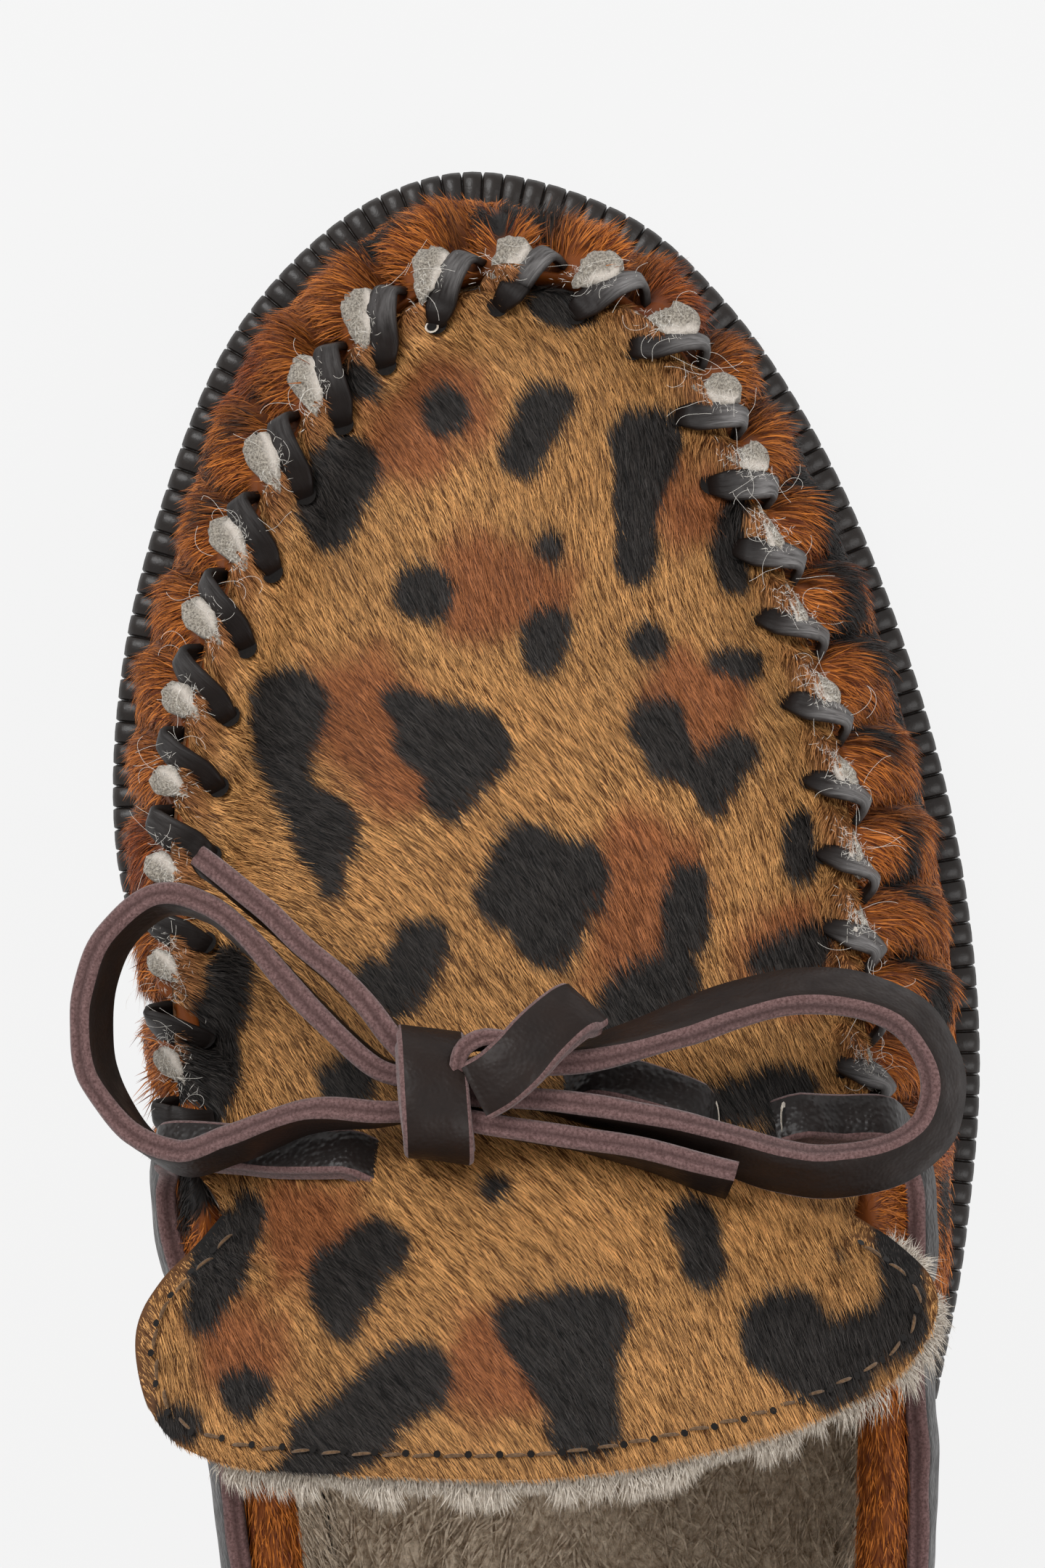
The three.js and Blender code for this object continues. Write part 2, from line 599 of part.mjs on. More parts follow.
// Bow: hand-chosen points from the seat of the knot, as millimetres forwards, to the inner
// side and up; lean turns the strip from standing on edge (0) to lying flat (90).
const BOW_SEAT = { at: 0.597, side: 0.12 }; // shares of LENGTH and BALL_WIDTH
const KNOT = { length: 14, width: 8, height: 12, slope: 0.66, bevel: 1.5, lift: 7.7 };
const LOOP_INNER = [
  { x: 2.2, y: 5.2, z: 6.8, lean: 0 },
  { x: 9, y: 13, z: 5, lean: 0 },
  { x: 15.6, y: 19.2, z: 2.8, lean: 4 },
  { x: 19.6, y: 24, z: 1.2, lean: 8 },
  { x: 20.4, y: 29.4, z: -0.2, lean: 15 },
  { x: 16.2, y: 34.4, z: -1.4, lean: 22 },
  { x: 9.2, y: 36.9, z: -2.2, lean: 25 },
  { x: 1.6, y: 36, z: -1.8, lean: 20 },
  { x: -4.6, y: 32, z: -0.4, lean: 2 },
  { x: -7, y: 27, z: 1.6, lean: -18 },
  { x: -5.4, y: 21.4, z: 3.8, lean: -25 },
  { x: -2.4, y: 13.4, z: 6.6, lean: -20 },
  { x: -2, y: 5.2, z: 7.6, lean: -5 },
];
const TAIL_INNER = [
  { x: 6.1, y: 5, z: 6, lean: 0 },
  { x: 9.4, y: 7.2, z: 5.6, lean: 2 },
  { x: 15.4, y: 13.8, z: 4.2, lean: 4 },
  { x: 21.4, y: 20.6, z: 2.2, lean: 6 },
  { x: 24.6, y: 25, z: 0.8, lean: 6 },
];
const LOOP_OUTER = [
  { x: 3, y: -5, z: 6.2, lean: 0 },
  { x: 3.2, y: -12, z: 6.2, lean: 5 },
  { x: 5, y: -20, z: 5, lean: 15 },
  { x: 7, y: -26.4, z: 4, lean: 25 },
  { x: 8.8, y: -32, z: 3.2, lean: 28 },
  { x: 10.1, y: -38.4, z: 2.2, lean: 28 },
  { x: 9.6, y: -44.6, z: 1.2, lean: 26 },
  { x: 7.3, y: -49.7, z: 0.4, lean: 22 },
  { x: 4, y: -52.2, z: 0, lean: 18 },
  { x: 0.4, y: -52.9, z: 0, lean: 18 },
  { x: -3.2, y: -51.9, z: 0.2, lean: 22 },
  { x: -6, y: -48.4, z: 1.4, lean: 28 },
  { x: -7.2, y: -42.2, z: 3.2, lean: 32 },
  { x: -6.4, y: -37, z: 4.8, lean: 30 },
  { x: -4.4, y: -29.8, z: 6.6, lean: 20 },
  { x: -2.6, y: -23, z: 7.4, lean: 12 },
  { x: -1.2, y: -16, z: 7.6, lean: 5 },
  { x: -0.2, y: -9.5, z: 7, lean: 0 },
  { x: 0.1, y: -5, z: 6.6, lean: 0 },
];
const TAIL_OUTER = [
  { x: -3, y: -5, z: 8, lean: 0 },
  { x: -3.6, y: -9.5, z: 8.2, lean: -2 },
  { x: -4.8, y: -16, z: 8.2, lean: -6 },
  { x: -6.6, y: -23.5, z: 8.9, lean: -14 },
  { x: -9, y: -31.5, z: 8.9, lean: -24 },
];
const KNOT_STRAND = [
  { x: 1.8, y: -6.6, z: 12.8, lean: 90 },
  { x: 3.8, y: -8.9, z: 12.5, lean: 88 },
  { x: 6.4, y: -11.4, z: 11.4, lean: 80 },
  { x: 8.4, y: -14, z: 10, lean: 70 },
];

// Front laces, which lie flat on the leather: shares of LENGTH and BALL_WIDTH over the apron, then places
// on the wrap as rows of PLAN and v.
const FRONT_WIDTH = 5.4;
const FRONT_LACES = {
  lace_front_middle: {
    apron: [
      { at: 0.6, side: -0.015 },
      { at: 0.599, side: -0.06 },
      { at: 0.593, side: -0.12 },
      { at: 0.583, side: -0.18 },
    ],
    wrap: [],
  },
  lace_front_outer: {
    apron: [
      { at: 0.584, side: -0.24 },
      { at: 0.582, side: -0.275 },
      { at: 0.581, side: -0.305 },
    ],
    wrap: [
      { row: 6.58, v: 1 },
      { row: 6.62, v: 0.9 },
      { row: 6.78, v: 0.8 },
      { row: 7.05, v: 0.77 },
      { row: 7.4, v: 0.82 },
    ],
  },
  lace_front_inner: {
    apron: [
      { at: 0.569, side: 0.18 },
      { at: 0.568, side: 0.23 },
      { at: 0.568, side: 0.28 },
      { at: 0.569, side: 0.318 },
    ],
    wrap: [
      { row: 19.36, v: 1 },
      { row: 19.34, v: 0.9 },
      { row: 19.2, v: 0.8 },
      { row: 18.95, v: 0.77 },
      { row: 18.62, v: 0.82 },
    ],
  },
};
const OVER_EDGE = 0.6; // extra height of a front lace where it bends over the edge of the wrap

function alongRoute(name, points, leans) {
  const curve = new THREE.CatmullRomCurve3(points, false, "centripetal");
  const steps = Math.max(4, Math.round(curve.getLength() / ROUTE_STEP));
  const frames = [];
  for (let i = 0; i <= steps; i++) {
    const t = curve.getUtoTmapping(i / steps);
    const place = t * (points.length - 1);
    const k = Math.min(Math.floor(place), points.length - 2);
    const lean = THREE.MathUtils.degToRad(THREE.MathUtils.lerp(leans[k], leans[k + 1], place - k));
    const along = curve.getTangent(t);
    const level = along.clone().cross(UP).normalize();
    const upright = level.clone().cross(along).normalize();
    const across = upright.clone().multiplyScalar(Math.cos(lean)).addScaledVector(level, Math.sin(lean));
    frames.push({ centre: curve.getPoint(t), across, through: along.clone().cross(across) });
  }
  return strip(name, frames);
}

function frontLace(name, { apron, wrap }) {
  const up = CLEARANCE + LACE_THICKNESS / 2;
  const knots = apron.map(({ at, side }) => {
    const [x, y] = [fromShare(at), side * BALL_WIDTH];
    const normal = apronPoint(x, y, 1).sub(apronPoint(x, y));
    return { point: apronPoint(x, y, up), normal };
  });
  for (const { row, v } of wrap) {
    const normal = wrapNormal(row, v);
    const bend = v === 1 ? OVER_EDGE : 0;
    if (v === 1) normal.add(knots[knots.length - 1].normal).normalize();
    knots.push({ point: wrapPoint(row, v).addScaledVector(normal, up + bend), normal });
  }
  const curve = new THREE.CatmullRomCurve3(knots.map((k) => k.point), false, "centripetal");
  const steps = Math.max(4, Math.round(curve.getLength() / ROUTE_STEP));
  const frames = [];
  for (let i = 0; i <= steps; i++) {
    const t = curve.getUtoTmapping(i / steps);
    const place = t * (knots.length - 1);
    const k = Math.min(Math.floor(place), knots.length - 2);
    const along = curve.getTangent(t);
    const normal = knots[k].normal.clone().lerp(knots[k + 1].normal, place - k);
    const through = normal.addScaledVector(along, -normal.dot(along)).normalize();
    frames.push({ centre: curve.getPoint(t), across: along.clone().cross(through), through });
  }
  return strip(name, frames, FRONT_WIDTH);
}

function bowSeat() {
  return apronPoint(fromShare(BOW_SEAT.at), BOW_SEAT.side * BALL_WIDTH);
}

function bowStrand(name, rows) {
  const seat = bowSeat();
  const points = rows.map((r) => seat.clone().add(new THREE.Vector3(r.x, r.y, r.z)));
  return alongRoute(name, points, rows.map((r) => r.lean));
}

function bowKnot() {
  const { length, width, height, slope, bevel, lift } = KNOT;
  const [halfLength, halfHeight] = [length / 2 - bevel, height / 2 - bevel];
  const outline = new THREE.Shape();
  outline.absellipse(0, 0, halfLength, halfHeight, 0, 2 * Math.PI, false, 0);
  const options = { depth: width - 2 * bevel, bevelSize: bevel, bevelThickness: bevel, bevelSegments: 2 };
  const geometry = new THREE.ExtrudeGeometry(outline, { ...options, curveSegments: 8 });
  geometry.translate(0, 0, bevel - width / 2).rotateX(Math.PI / 2).rotateY(slope);
  const seat = bowSeat();
  geometry.translate(seat.x, seat.y, seat.z + lift);
  geometry.deleteAttribute("normal");
  geometry.deleteAttribute("uv");
  return named("bow_knot", geometry, LACE);
}

const part = new THREE.Group();
part.add(outsole(), insole(), upper(), apronTongue(), whipSeam());
COLLAR_RUNS.forEach((run, i) => part.add(collarLace(run, i)));
for (const [name, route] of Object.entries(FRONT_LACES)) part.add(frontLace(name, route));
part.add(bowKnot(), bowStrand("bow_knot_strand", KNOT_STRAND));
part.add(bowStrand("bow_loop_inner", LOOP_INNER), bowStrand("bow_tail_inner", TAIL_INNER));
part.add(bowStrand("bow_loop_outer", LOOP_OUTER), bowStrand("bow_tail_outer", TAIL_OUTER));

export default part;
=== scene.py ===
"""Visual model of a hand-laced moccasin slipper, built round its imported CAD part."""

import logging
import math
from dataclasses import dataclass, field
from enum import Enum

import bpy
import numpy as np
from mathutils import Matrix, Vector


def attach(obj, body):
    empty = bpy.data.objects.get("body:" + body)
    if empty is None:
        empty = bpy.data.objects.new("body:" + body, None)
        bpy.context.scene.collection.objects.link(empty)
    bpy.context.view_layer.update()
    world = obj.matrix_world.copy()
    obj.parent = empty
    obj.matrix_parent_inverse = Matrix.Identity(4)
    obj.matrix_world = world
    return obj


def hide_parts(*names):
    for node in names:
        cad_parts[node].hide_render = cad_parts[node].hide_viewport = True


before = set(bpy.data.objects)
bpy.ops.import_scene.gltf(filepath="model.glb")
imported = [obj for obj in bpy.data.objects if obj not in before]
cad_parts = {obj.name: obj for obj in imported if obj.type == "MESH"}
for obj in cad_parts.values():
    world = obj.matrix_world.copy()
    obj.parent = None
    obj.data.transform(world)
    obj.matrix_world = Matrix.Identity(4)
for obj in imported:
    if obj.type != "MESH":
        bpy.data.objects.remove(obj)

log = logging.getLogger("moccasin")

Numbers = float | np.ndarray
Source = bpy.types.NodeSocket | float | tuple

MM = 0.001
UP = np.array([0.0, 0.0, 1.0])

# Sizes of the shoe in millimetres, the same as the part's own
LENGTH = 256.0
BALL_WIDTH = 100.0
INSTEP_HEIGHT = 93.0
TOE_SPRING = 5.0
ARCH_LIFT = 2.0
HEEL_THICKNESS = 17.0
TOE_THICKNESS = 10.5
RIM = 4.5
CUP_DEPTH = 5.0
WALL = 2.6
COLLAR_ROLL = 4.8
ROLL_DEPTH = 9.0
CLEARANCE = 0.3
LACE_WIDTH = 6.6
LACE_THICKNESS = 2.4
FRONT_WIDTH = 5.4
COLLAR_LACE_DROP = 6.0
OUTER_THROAT = 7
INNER_THROAT = 19

# Rows round the shoe: outline of the sole and top line, as shares of length and ball width, and
# the swell
PLAN = np.array([
    (1.0, 0.072, 0.951, 0.048, 0.03),
    (0.98, -0.098, 0.944, -0.064, 0.03),
    (0.941, -0.211, 0.919, -0.144, 0.035),
    (0.882, -0.314, 0.871, -0.211, 0.04),
    (0.804, -0.402, 0.8, -0.277, 0.045),
    (0.706, -0.474, 0.71, -0.332, 0.045),
    (0.607, -0.502, 0.625, -0.343, 0.045),
    (0.52, -0.484, 0.547, -0.354, 0.045),
    (0.422, -0.436, 0.445, -0.383, 0.04),
    (0.305, -0.398, 0.32, -0.37, 0.035),
    (0.188, -0.382, 0.195, -0.335, 0.035),
    (0.09, -0.335, 0.105, -0.268, 0.03),
    (0.026, -0.21, 0.052, -0.16, 0.025),
    (0.0, -0.045, 0.034, -0.045, 0.02),
    (0.026, 0.12, 0.052, 0.07, 0.025),
    (0.09, 0.243, 0.105, 0.176, 0.03),
    (0.188, 0.29, 0.195, 0.245, 0.035),
    (0.305, 0.302, 0.32, 0.292, 0.05),
    (0.422, 0.333, 0.445, 0.328, 0.075),
    (0.52, 0.383, 0.547, 0.38, 0.1),
    (0.607, 0.44, 0.61, 0.402, 0.08),
    (0.695, 0.498, 0.695, 0.411, 0.04),
    (0.781, 0.49, 0.77, 0.388, 0.035),
    (0.861, 0.437, 0.845, 0.324, 0.035),
    (0.924, 0.367, 0.897, 0.255, 0.035),
    (0.969, 0.268, 0.93, 0.186, 0.03),
    (0.992, 0.176, 0.946, 0.117, 0.03),
])
ROWS = len(PLAN)
HEEL_ROW = 13

# Heights along the shoe: place, underside, top line of the wrap and crown of the apron
PROFILE = np.array([
    (0.0, 0.3, 0.74, 1.0),
    (0.06, 0.0, 0.7, 1.0),
    (0.13, 0.0, 0.645, 1.0),
    (0.24, 0.0, 0.605, 1.0),
    (0.34, 0.8, 0.605, 1.0),
    (0.44, 1.0, 0.635, 1.0),
    (0.5, 0.7, 0.645, 0.925),
    (0.547, 0.2, 0.677, 0.848),
    (0.6, 0.0, 0.605, 0.74),
    (0.66, 0.0, 0.525, 0.627),
    (0.74, 0.0, 0.442, 0.513),
    (0.82, 0.1, 0.383, 0.433),
    (0.9, 0.45, 0.347, 0.376),
    (0.96, 0.8, 0.325, 0.33),
    (1.0, 1.0, 0.315, 0.315),
])

# The tongue from its free end forwards: place, inner edge, outer edge, span of its arch, height of
# its edge
TONGUE = np.array([
    (0.4445, 0.315, 0.02, 0.42, 0.8),
    (0.4475, 0.357, -0.06, 0.42, 0.8),
    (0.4525, 0.392, -0.135, 0.42, 0.795),
    (0.462, 0.418, -0.25, 0.42, 0.785),
    (0.48, 0.436, -0.365, 0.42, 0.77),
    (0.5, 0.438, -0.41, 0.42, 0.755),
    (0.518, 0.415, -0.412, 0.42, 0.735),
    (0.534, 0.374, -0.372, 0.375, 0.715),
    (0.545, 0.349, -0.328, 0.34, 0.7),
])
THROAT = TONGUE[-1, 0]
THROAT_X = (THROAT - 0.5) * LENGTH
THROAT_EASE = 0.028

# Whip stitches, as millimetres along the seam from the inner throat round the toe
STITCHES = np.array([
    1.5, 13, 25, 36, 45, 54.5, 63.5, 73, 83, 92.5, 101.5, 110.5, 119.5,
    129.5, 139, 148, 156.5, 165.5, 174.5, 184.5, 194, 203, 211.5, 220, 228,
])
# Slant of the stitches: places along the seam, and millimetres along it for each across
SLANT_AT = [0, 40, 60, 110, 138, 150, 160, 172, 230]
SLANTS = [0.85, 0.9, 1.3, 1.35, 1.25, 0.8, 0.85, 1.25, 1.3]
# How far inside the seam the thong's holes lie, in millimetres, at places along it
HOLE_AT = [0, 40, 130, 175, 230]
HOLE_IN = [2.8, 4.4, 4.4, 4.0, 2.8]
# How full the cream raw edges stand between two stitches, in the same order
LIP_FULLNESS = [
    0.5, 0.6, 0.75, 0.8, 0.85, 0.9, 0.95, 1.0, 1.0, 1.0, 0.95, 0.85,
    0.9, 0.95, 0.9, 0.8, 0.1, 0.1, 0.4, 0.3, 0.1, 0.15, 0.15, 0.1,
]

# Spots on apron and tongue, charted: chains of (forwards, inwards, radius) in millimetres
APRON_SPOTS = [
    [(100.5, 12.3, 2.9)], [(101.2, 0.7, 3.1), (95.9, 3.3, 2.7)],
    [(97.3, -10.6, 4.2), (90.3, -9.9, 2.6), (83.7, -9.7, 2.5)],
    [(93.8, 23.3, 3.9), (88.6, 25.0, 3.6)], [(85.3, 0.1, 1.8)], [(80.3, 14.1, 3.5)],
    [(76.3, 0.3, 2.8), (72.9, 1.4, 2.2)], [(74.5, -10.3, 2.3)],
    [(72.8, -18.8, 2.0), (72.3, -21.4, 1.8)],
    [(65.8, -11.3, 3.0), (61.6, -12.9, 2.8), (59.8, -16.0, 1.6), (62.4, -19.9, 2.7),
     (57.3, -18.0, 2.2)],
    [(67.6, 29.2, 4.4), (62.0, 30.2, 3.4), (57.0, 29.0, 2.4), (53.0, 25.5, 4.2), (47.0, 24.2, 1.6)],
    [(67.6, 16.7, 2.2), (64.1, 13.7, 4.4), (62.5, 9.4, 4.8), (57.7, 11.5, 3.0)],
    [(50.9, 2.4, 4.1), (46.6, 5.0, 3.8), (48.3, -1.8, 4.5), (42.8, 0.7, 4.2)],
    [(47.9, -15.3, 2.7), (42.8, -14.6, 2.9)],
    [(37.4, -12.4, 3.8), (34.0, -7.7, 3.6), (29.7, -2.6, 2.2)],
    [(41.2, 14.3, 3.2), (36.5, 16.9, 3.2), (37.8, 20.2, 1.8)],
    [(41.2, -28.1, 3.0), (39.5, -23.8, 2.4)], [(53.4, -27.4, 2.2), (50.0, -27.4, 2.2)],
    [(24.1, -16.9, 2.6), (25.3, -21.9, 3.0), (25.8, -26.1, 2.6), (21.6, -24.0, 1.8)],
    [(39.5, 35.1, 1.8), (34.0, 36.3, 3.0), (28.0, 36.8, 3.3), (22.1, 38.0, 2.7)],
    [(26.6, 22.4, 3.2)], [(112.5, -0.2, 2.8), (111.6, -3.3, 2.2)], [(103.2, 21.3, 2.0)],
    [(88.5, -20.3, 1.8), (85.7, -20.3, 2.3), (82.0, -20.5, 2.0)], [(16.0, 6.6, 1.8)],
    [(13.1, 32.4, 1.8), (7.7, 34.9, 2.9), (2.3, 37.4, 2.0)],
    [(9.4, 19.1, 3.5), (6.0, 22.4, 4.0), (1.9, 22.9, 2.1)], [(-5.2, 32.4, 2.8)],
    [(-9.0, 39.1, 2.6)],
    [(-3.1, 14.5, 3.6), (-6.9, 19.5, 4.2), (-11.5, 24.9, 4.0), (-14.3, 26.6, 3.5)],
    [(2.2, 3.0, 3.2), (-2.6, -2.0, 5.0), (-7.4, -3.2, 3.2)], [(2.8, -4.4, 3.6), (-2.6, -2.0, 5.0)],
    [(2.6, 2.0, 3.4), (2.8, -3.4, 3.6)], [(-7.4, -3.0, 4.0)],
    [(12.3, -14.6, 3.0), (8.1, -15.9, 2.4)], [(8.8, -30.6, 0.9)],
    [(1.5, -24.2, 4.6), (-2.6, -29.5, 4.4)], [(-0.5, -30.0, 3.4), (1.4, -36.8, 3.2)],
    [(1.4, -37.0, 3.2), (7.7, -37.8, 2.8), (12.0, -36.8, 2.4)],
]
APRON_PATCHES = [
    [(80.8, 6.7, 6.5), (81.0, 1.0, 4.0)], [(66.0, 21.3, 7.5), (60.0, 18.0, 5.0)],
    [(68.0, -15.7, 6.5)], [(49.0, -10.2, 7.0), (40.0, -8.0, 5.0)],
    [(101.0, 12.0, 5.5), (97.0, 17.0, 5.0)], [(90.5, -15.8, 5.0)], [(-2.0, 6.0, 6.0)],
    [(11.0, 26.0, 6.0)], [(-1.0, 33.0, 5.0)], [(40.0, -26.0, 6.0)],
]

# Empty punched holes and lace slots with pale rims: forwards, inwards, half width and half length
SPARE_HOLES = [
    (108.5, 12.7, 0.8, 0.75), (99.0, 23.0, 0.8, 0.8), (21.8, -17.6, 0.6, 2.5),
    (20.9, -25.2, 0.6, 2.7),
]

# Spots on the wrap: chains of (row, share of its height, radius)
WRAP_SPOTS = [
    [(25.05, 0.36, 2.3), (25.45, 0.48, 2.5), (25.85, 0.58, 2.2)],
    [(0.05, 0.68, 2.4), (0.25, 0.55, 3.0), (0.4, 0.6, 2.6)], [(23.85, 0.66, 1.7)],
    [(23.3, 0.55, 1.7), (23.15, 0.63, 1.6)], [(23.5, 0.7, 1.4)], [(22.9, 0.71, 1.5)],
    [(22.8, 0.3, 2.3), (22.6, 0.2, 1.9)], [(22.15, 0.23, 2.3), (22.0, 0.32, 2.4)],
    [(21.4, 0.3, 2.8), (21.2, 0.42, 2.2)], [(20.8, 0.62, 2.2)],
    [(20.3, 0.3, 3.6), (20.0, 0.42, 3.2)], [(1.97, 0.3, 3.1), (2.22, 0.32, 3.7), (2.47, 0.42, 3.7)],
    [(2.82, 0.34, 3.6), (2.99, 0.5, 3.6)],
    [(3.22, 0.42, 3.8), (3.42, 0.54, 4.4), (3.57, 0.42, 4.3)],
    [(3.92, 0.65, 3.8), (4.07, 0.72, 4.1), (4.19, 0.65, 3.6)],
    [(4.17, 0.4, 3.7), (4.32, 0.42, 4.1), (4.42, 0.33, 3.6)], [(4.62, 0.77, 2.5)],
    [(4.52, 0.25, 3.1), (4.72, 0.32, 3.4), (4.84, 0.38, 3.1), (4.97, 0.26, 3.1)],
    [(5.12, 0.7, 3.2), (5.32, 0.72, 3.2)], [(5.77, 0.68, 4.3), (5.92, 0.58, 4.7)],
    [(5.72, 0.23, 2.1)], [(6.2, 0.3, 3.6), (6.35, 0.4, 3.0)], [(6.9, 0.6, 3.4), (6.75, 0.5, 2.4)],
    [(7.3, 0.25, 4.6), (7.5, 0.42, 3.4)], [(7.95, 0.62, 4.2), (8.1, 0.5, 2.6)], [(8.35, 0.2, 3.8)],
    [(8.8, 0.45, 3.4), (8.95, 0.6, 4.0)], [(9.3, 0.2, 4.6), (9.55, 0.35, 4.2)],
    [(9.9, 0.66, 4.6), (10.05, 0.5, 3.0)], [(10.45, 0.28, 4.8)], [(10.9, 0.62, 3.8)],
    [(11.3, 0.3, 3.4), (11.45, 0.5, 4.6)], [(11.95, 0.76, 3.2)],
    [(12.1, 0.24, 4.8), (12.4, 0.42, 3.2)], [(12.75, 0.66, 4.4)],
    [(13.2, 0.24, 3.6), (13.3, 0.46, 3.4)], [(13.8, 0.66, 4.0), (13.95, 0.5, 2.4)],
    [(14.2, 0.24, 4.6)], [(14.7, 0.5, 4.8), (14.85, 0.66, 3.2)], [(15.2, 0.22, 4.0)],
    [(15.6, 0.62, 4.2), (15.75, 0.42, 3.4)], [(16.15, 0.22, 4.4), (16.3, 0.36, 3.0)],
    [(16.7, 0.6, 4.4)], [(17.1, 0.28, 4.2), (17.35, 0.42, 3.6)], [(17.7, 0.7, 3.2)],
    [(18.1, 0.22, 4.4), (18.3, 0.4, 3.4)], [(18.7, 0.64, 3.6)],
    [(19.2, 0.28, 4.2), (19.4, 0.44, 2.8)], [(8.55, 1.0, 4.2)], [(19.15, 1.0, 4.0)],
    [(17.25, 1.0, 3.2)], [(18.5, 1.0, 4.2)],
]
WRAP_PATCHES = [
    [(1.8, 0.7, 5.0)], [(3.6, 0.5, 6.0)], [(6.4, 0.6, 7.0)], [(8.6, 0.5, 8.0)], [(11.6, 0.4, 8.0)],
    [(14.6, 0.6, 8.0)], [(17.0, 0.4, 8.0)], [(21.0, 0.7, 6.0)], [(24.0, 0.4, 6.0)],
]

# Bow, from the seat of its knot: forwards, inwards, up in millimetres, and lean in degrees
BOW_SEAT = (0.597, 0.12)
LOOP_INNER = [
    (1.6, 2.0, 7.4, 0), (2.8, 5.8, 6.8, 0), (9, 13, 5, 0), (15.6, 19.2, 2.8, 4),
    (19.6, 24, 1.2, 8), (20.4, 29.4, -0.2, 15), (16.2, 34.4, -1.4, 22), (9.2, 36.9, -2.2, 25),
    (1.6, 36, -1.8, 20), (-4.6, 32, -0.4, 2), (-7, 27, 1.6, -18), (-5.4, 21.4, 3.8, -25),
    (-2.4, 13.4, 6.6, -20), (-2, 6.2, 7.6, -8), (-1.6, 2.0, 7.8, 0),
]
TAIL_INNER = [
    (3.6, 2.0, 7.0, 0), (6.4, 4.6, 6.4, 0), (9.6, 7.4, 5.6, 2), (15.4, 13.8, 4.2, 4),
    (21.4, 20.6, 2.2, 6), (24.6, 25, 0.8, 6),
]
LOOP_OUTER = [
    (2.4, -2, 6.8, 0), (3, -6, 6.4, 0), (3.4, -12, 6.2, 5), (5.2, -20, 5, 18),
    (7.4, -26.4, 4, 28), (9.4, -32, 3.4, 31), (10.8, -38.6, 2.6, 31), (10.4, -45, 2, 30),
    (8.1, -50.4, 1.5, 31), (4.4, -53.3, 1.3, 32), (0.2, -54.2, 1.4, 33), (-3.9, -53, 1.8, 38),
    (-7, -49, 2.6, 44), (-8.4, -42.4, 4, 48), (-7.6, -36.6, 5.4, 46), (-5.4, -29.8, 6.8, 36),
    (-3.2, -23, 7.4, 24), (-1.6, -16, 7.6, 12), (-0.4, -9.5, 7.2, 4), (0, -2, 7, 0),
]
TAIL_OUTER = [
    (-2.2, -2, 8, 0), (-3.4, -7.5, 8.2, -2), (-3.9, -10.5, 8.2, -3), (-4.8, -16, 8.2, -6),
    (-6.6, -23.5, 8.9, -14), (-9, -31.5, 8.9, -24),
]
KNOT_STRAND = [
    (0.6, -4.6, 12.0, 84), (1.8, -6.6, 12.8, 84), (3.8, -8.9, 12.7, 82), (6.4, -11.4, 11.6, 74),
    (8.6, -14.2, 9.6, 62), (9.0, -15.6, 7.2, 50),
]
KNOT_TWIST = [
    (0.4, -2.2, 9.6, 10), (2.8, -2.2, 10.2, 8), (5.0, -3.0, 10.6, 0), (5.9, -5.0, 10.8, -10),
    (5.2, -7.2, 10.8, -30),
]
KNOT_HEIGHT = 7.7
KNOT_WIDTH = 7.4
TWIST_WIDTH = 5.0
TWIST_THICKNESS = 1.9

# Front laces: places over the apron (shares of length and ball width), then rows and heights on
# the wrap
FRONT_LACES = {
    "lace_front_middle": ([(0.6, -0.015), (0.599, -0.06), (0.593, -0.12), (0.583, -0.18)], []),
    "lace_front_outer": (
        [(0.584, -0.24), (0.582, -0.275), (0.581, -0.305)],
        [(6.58, 1), (6.62, 0.9), (6.78, 0.8), (7.05, 0.77), (7.4, 0.82)],
    ),
    "lace_front_inner": (
        [(0.569, 0.18), (0.568, 0.23), (0.568, 0.28), (0.569, 0.318)],
        [(19.36, 1), (19.34, 0.9), (19.2, 0.8), (18.95, 0.77), (18.62, 0.82)],
    ),
}
COLLAR_RUNS = [(18.5, 16.6), (16.3, 14.4), (14.1, 11.9), (11.6, 9.7), (9.4, 7.5)]


class Slot(Enum):
    """Material slots of the part's record."""

    RUBBER = "sole_rubber"
    WRAP = "wrap_hide"
    APRON = "apron_hide"
    THONG = "thong_leather"
    LACE = "lace_leather"
    LINING = "lining_fleece"


def smoothstep(value: Numbers, low: float, high: float) -> np.ndarray:
    """Eased share of the way from low to high, 0 before and 1 after."""
    t = np.clip((np.asarray(value, float) - low) / (high - low), 0.0, 1.0)
    return t * t * (3 - 2 * t)


def unit(vectors: np.ndarray) -> np.ndarray:
    """The vectors at length one."""
    length = np.linalg.norm(vectors, axis=-1, keepdims=True)
    return vectors / np.maximum(length, 1e-12)


def lie(direction: np.ndarray, normal: np.ndarray) -> np.ndarray:
    """Directions laid down flat on a surface, at length one."""
    return unit(direction - normal * (direction * normal).sum(1)[:, None])


def gone(points: np.ndarray) -> np.ndarray:
    """Distance gone at each point of a line."""
    return np.concatenate([[0], np.cumsum(np.linalg.norm(np.diff(points, axis=0), axis=1))])


def resample(new: np.ndarray, at: np.ndarray, values: np.ndarray) -> np.ndarray:
    """Rows of values at new places, from those at the old ones."""
    return np.stack([np.interp(new, at, values[:, k]) for k in range(values.shape[1])], 1)

def waves(points: np.ndarray, wavelength: float, seed: int) -> np.ndarray:
    """Smooth irregular field from about -1 to 1.

    Args:
        points: places in millimetres, one to a row.
        wavelength: usual distance between two crests in millimetres.
        seed: picks one field among many.

    Returns:
        One value to a place.
    """
    rng = np.random.default_rng(seed)
    total = np.zeros(points.shape[:-1])
    for _ in range(7):
        direction = unit(rng.normal(size=points.shape[-1]))
        pace = 2 * math.pi / (wavelength * rng.uniform(0.7, 1.6))
        total += np.sin(points @ direction * pace + rng.uniform(0, 2 * math.pi))
    return total / 3.0


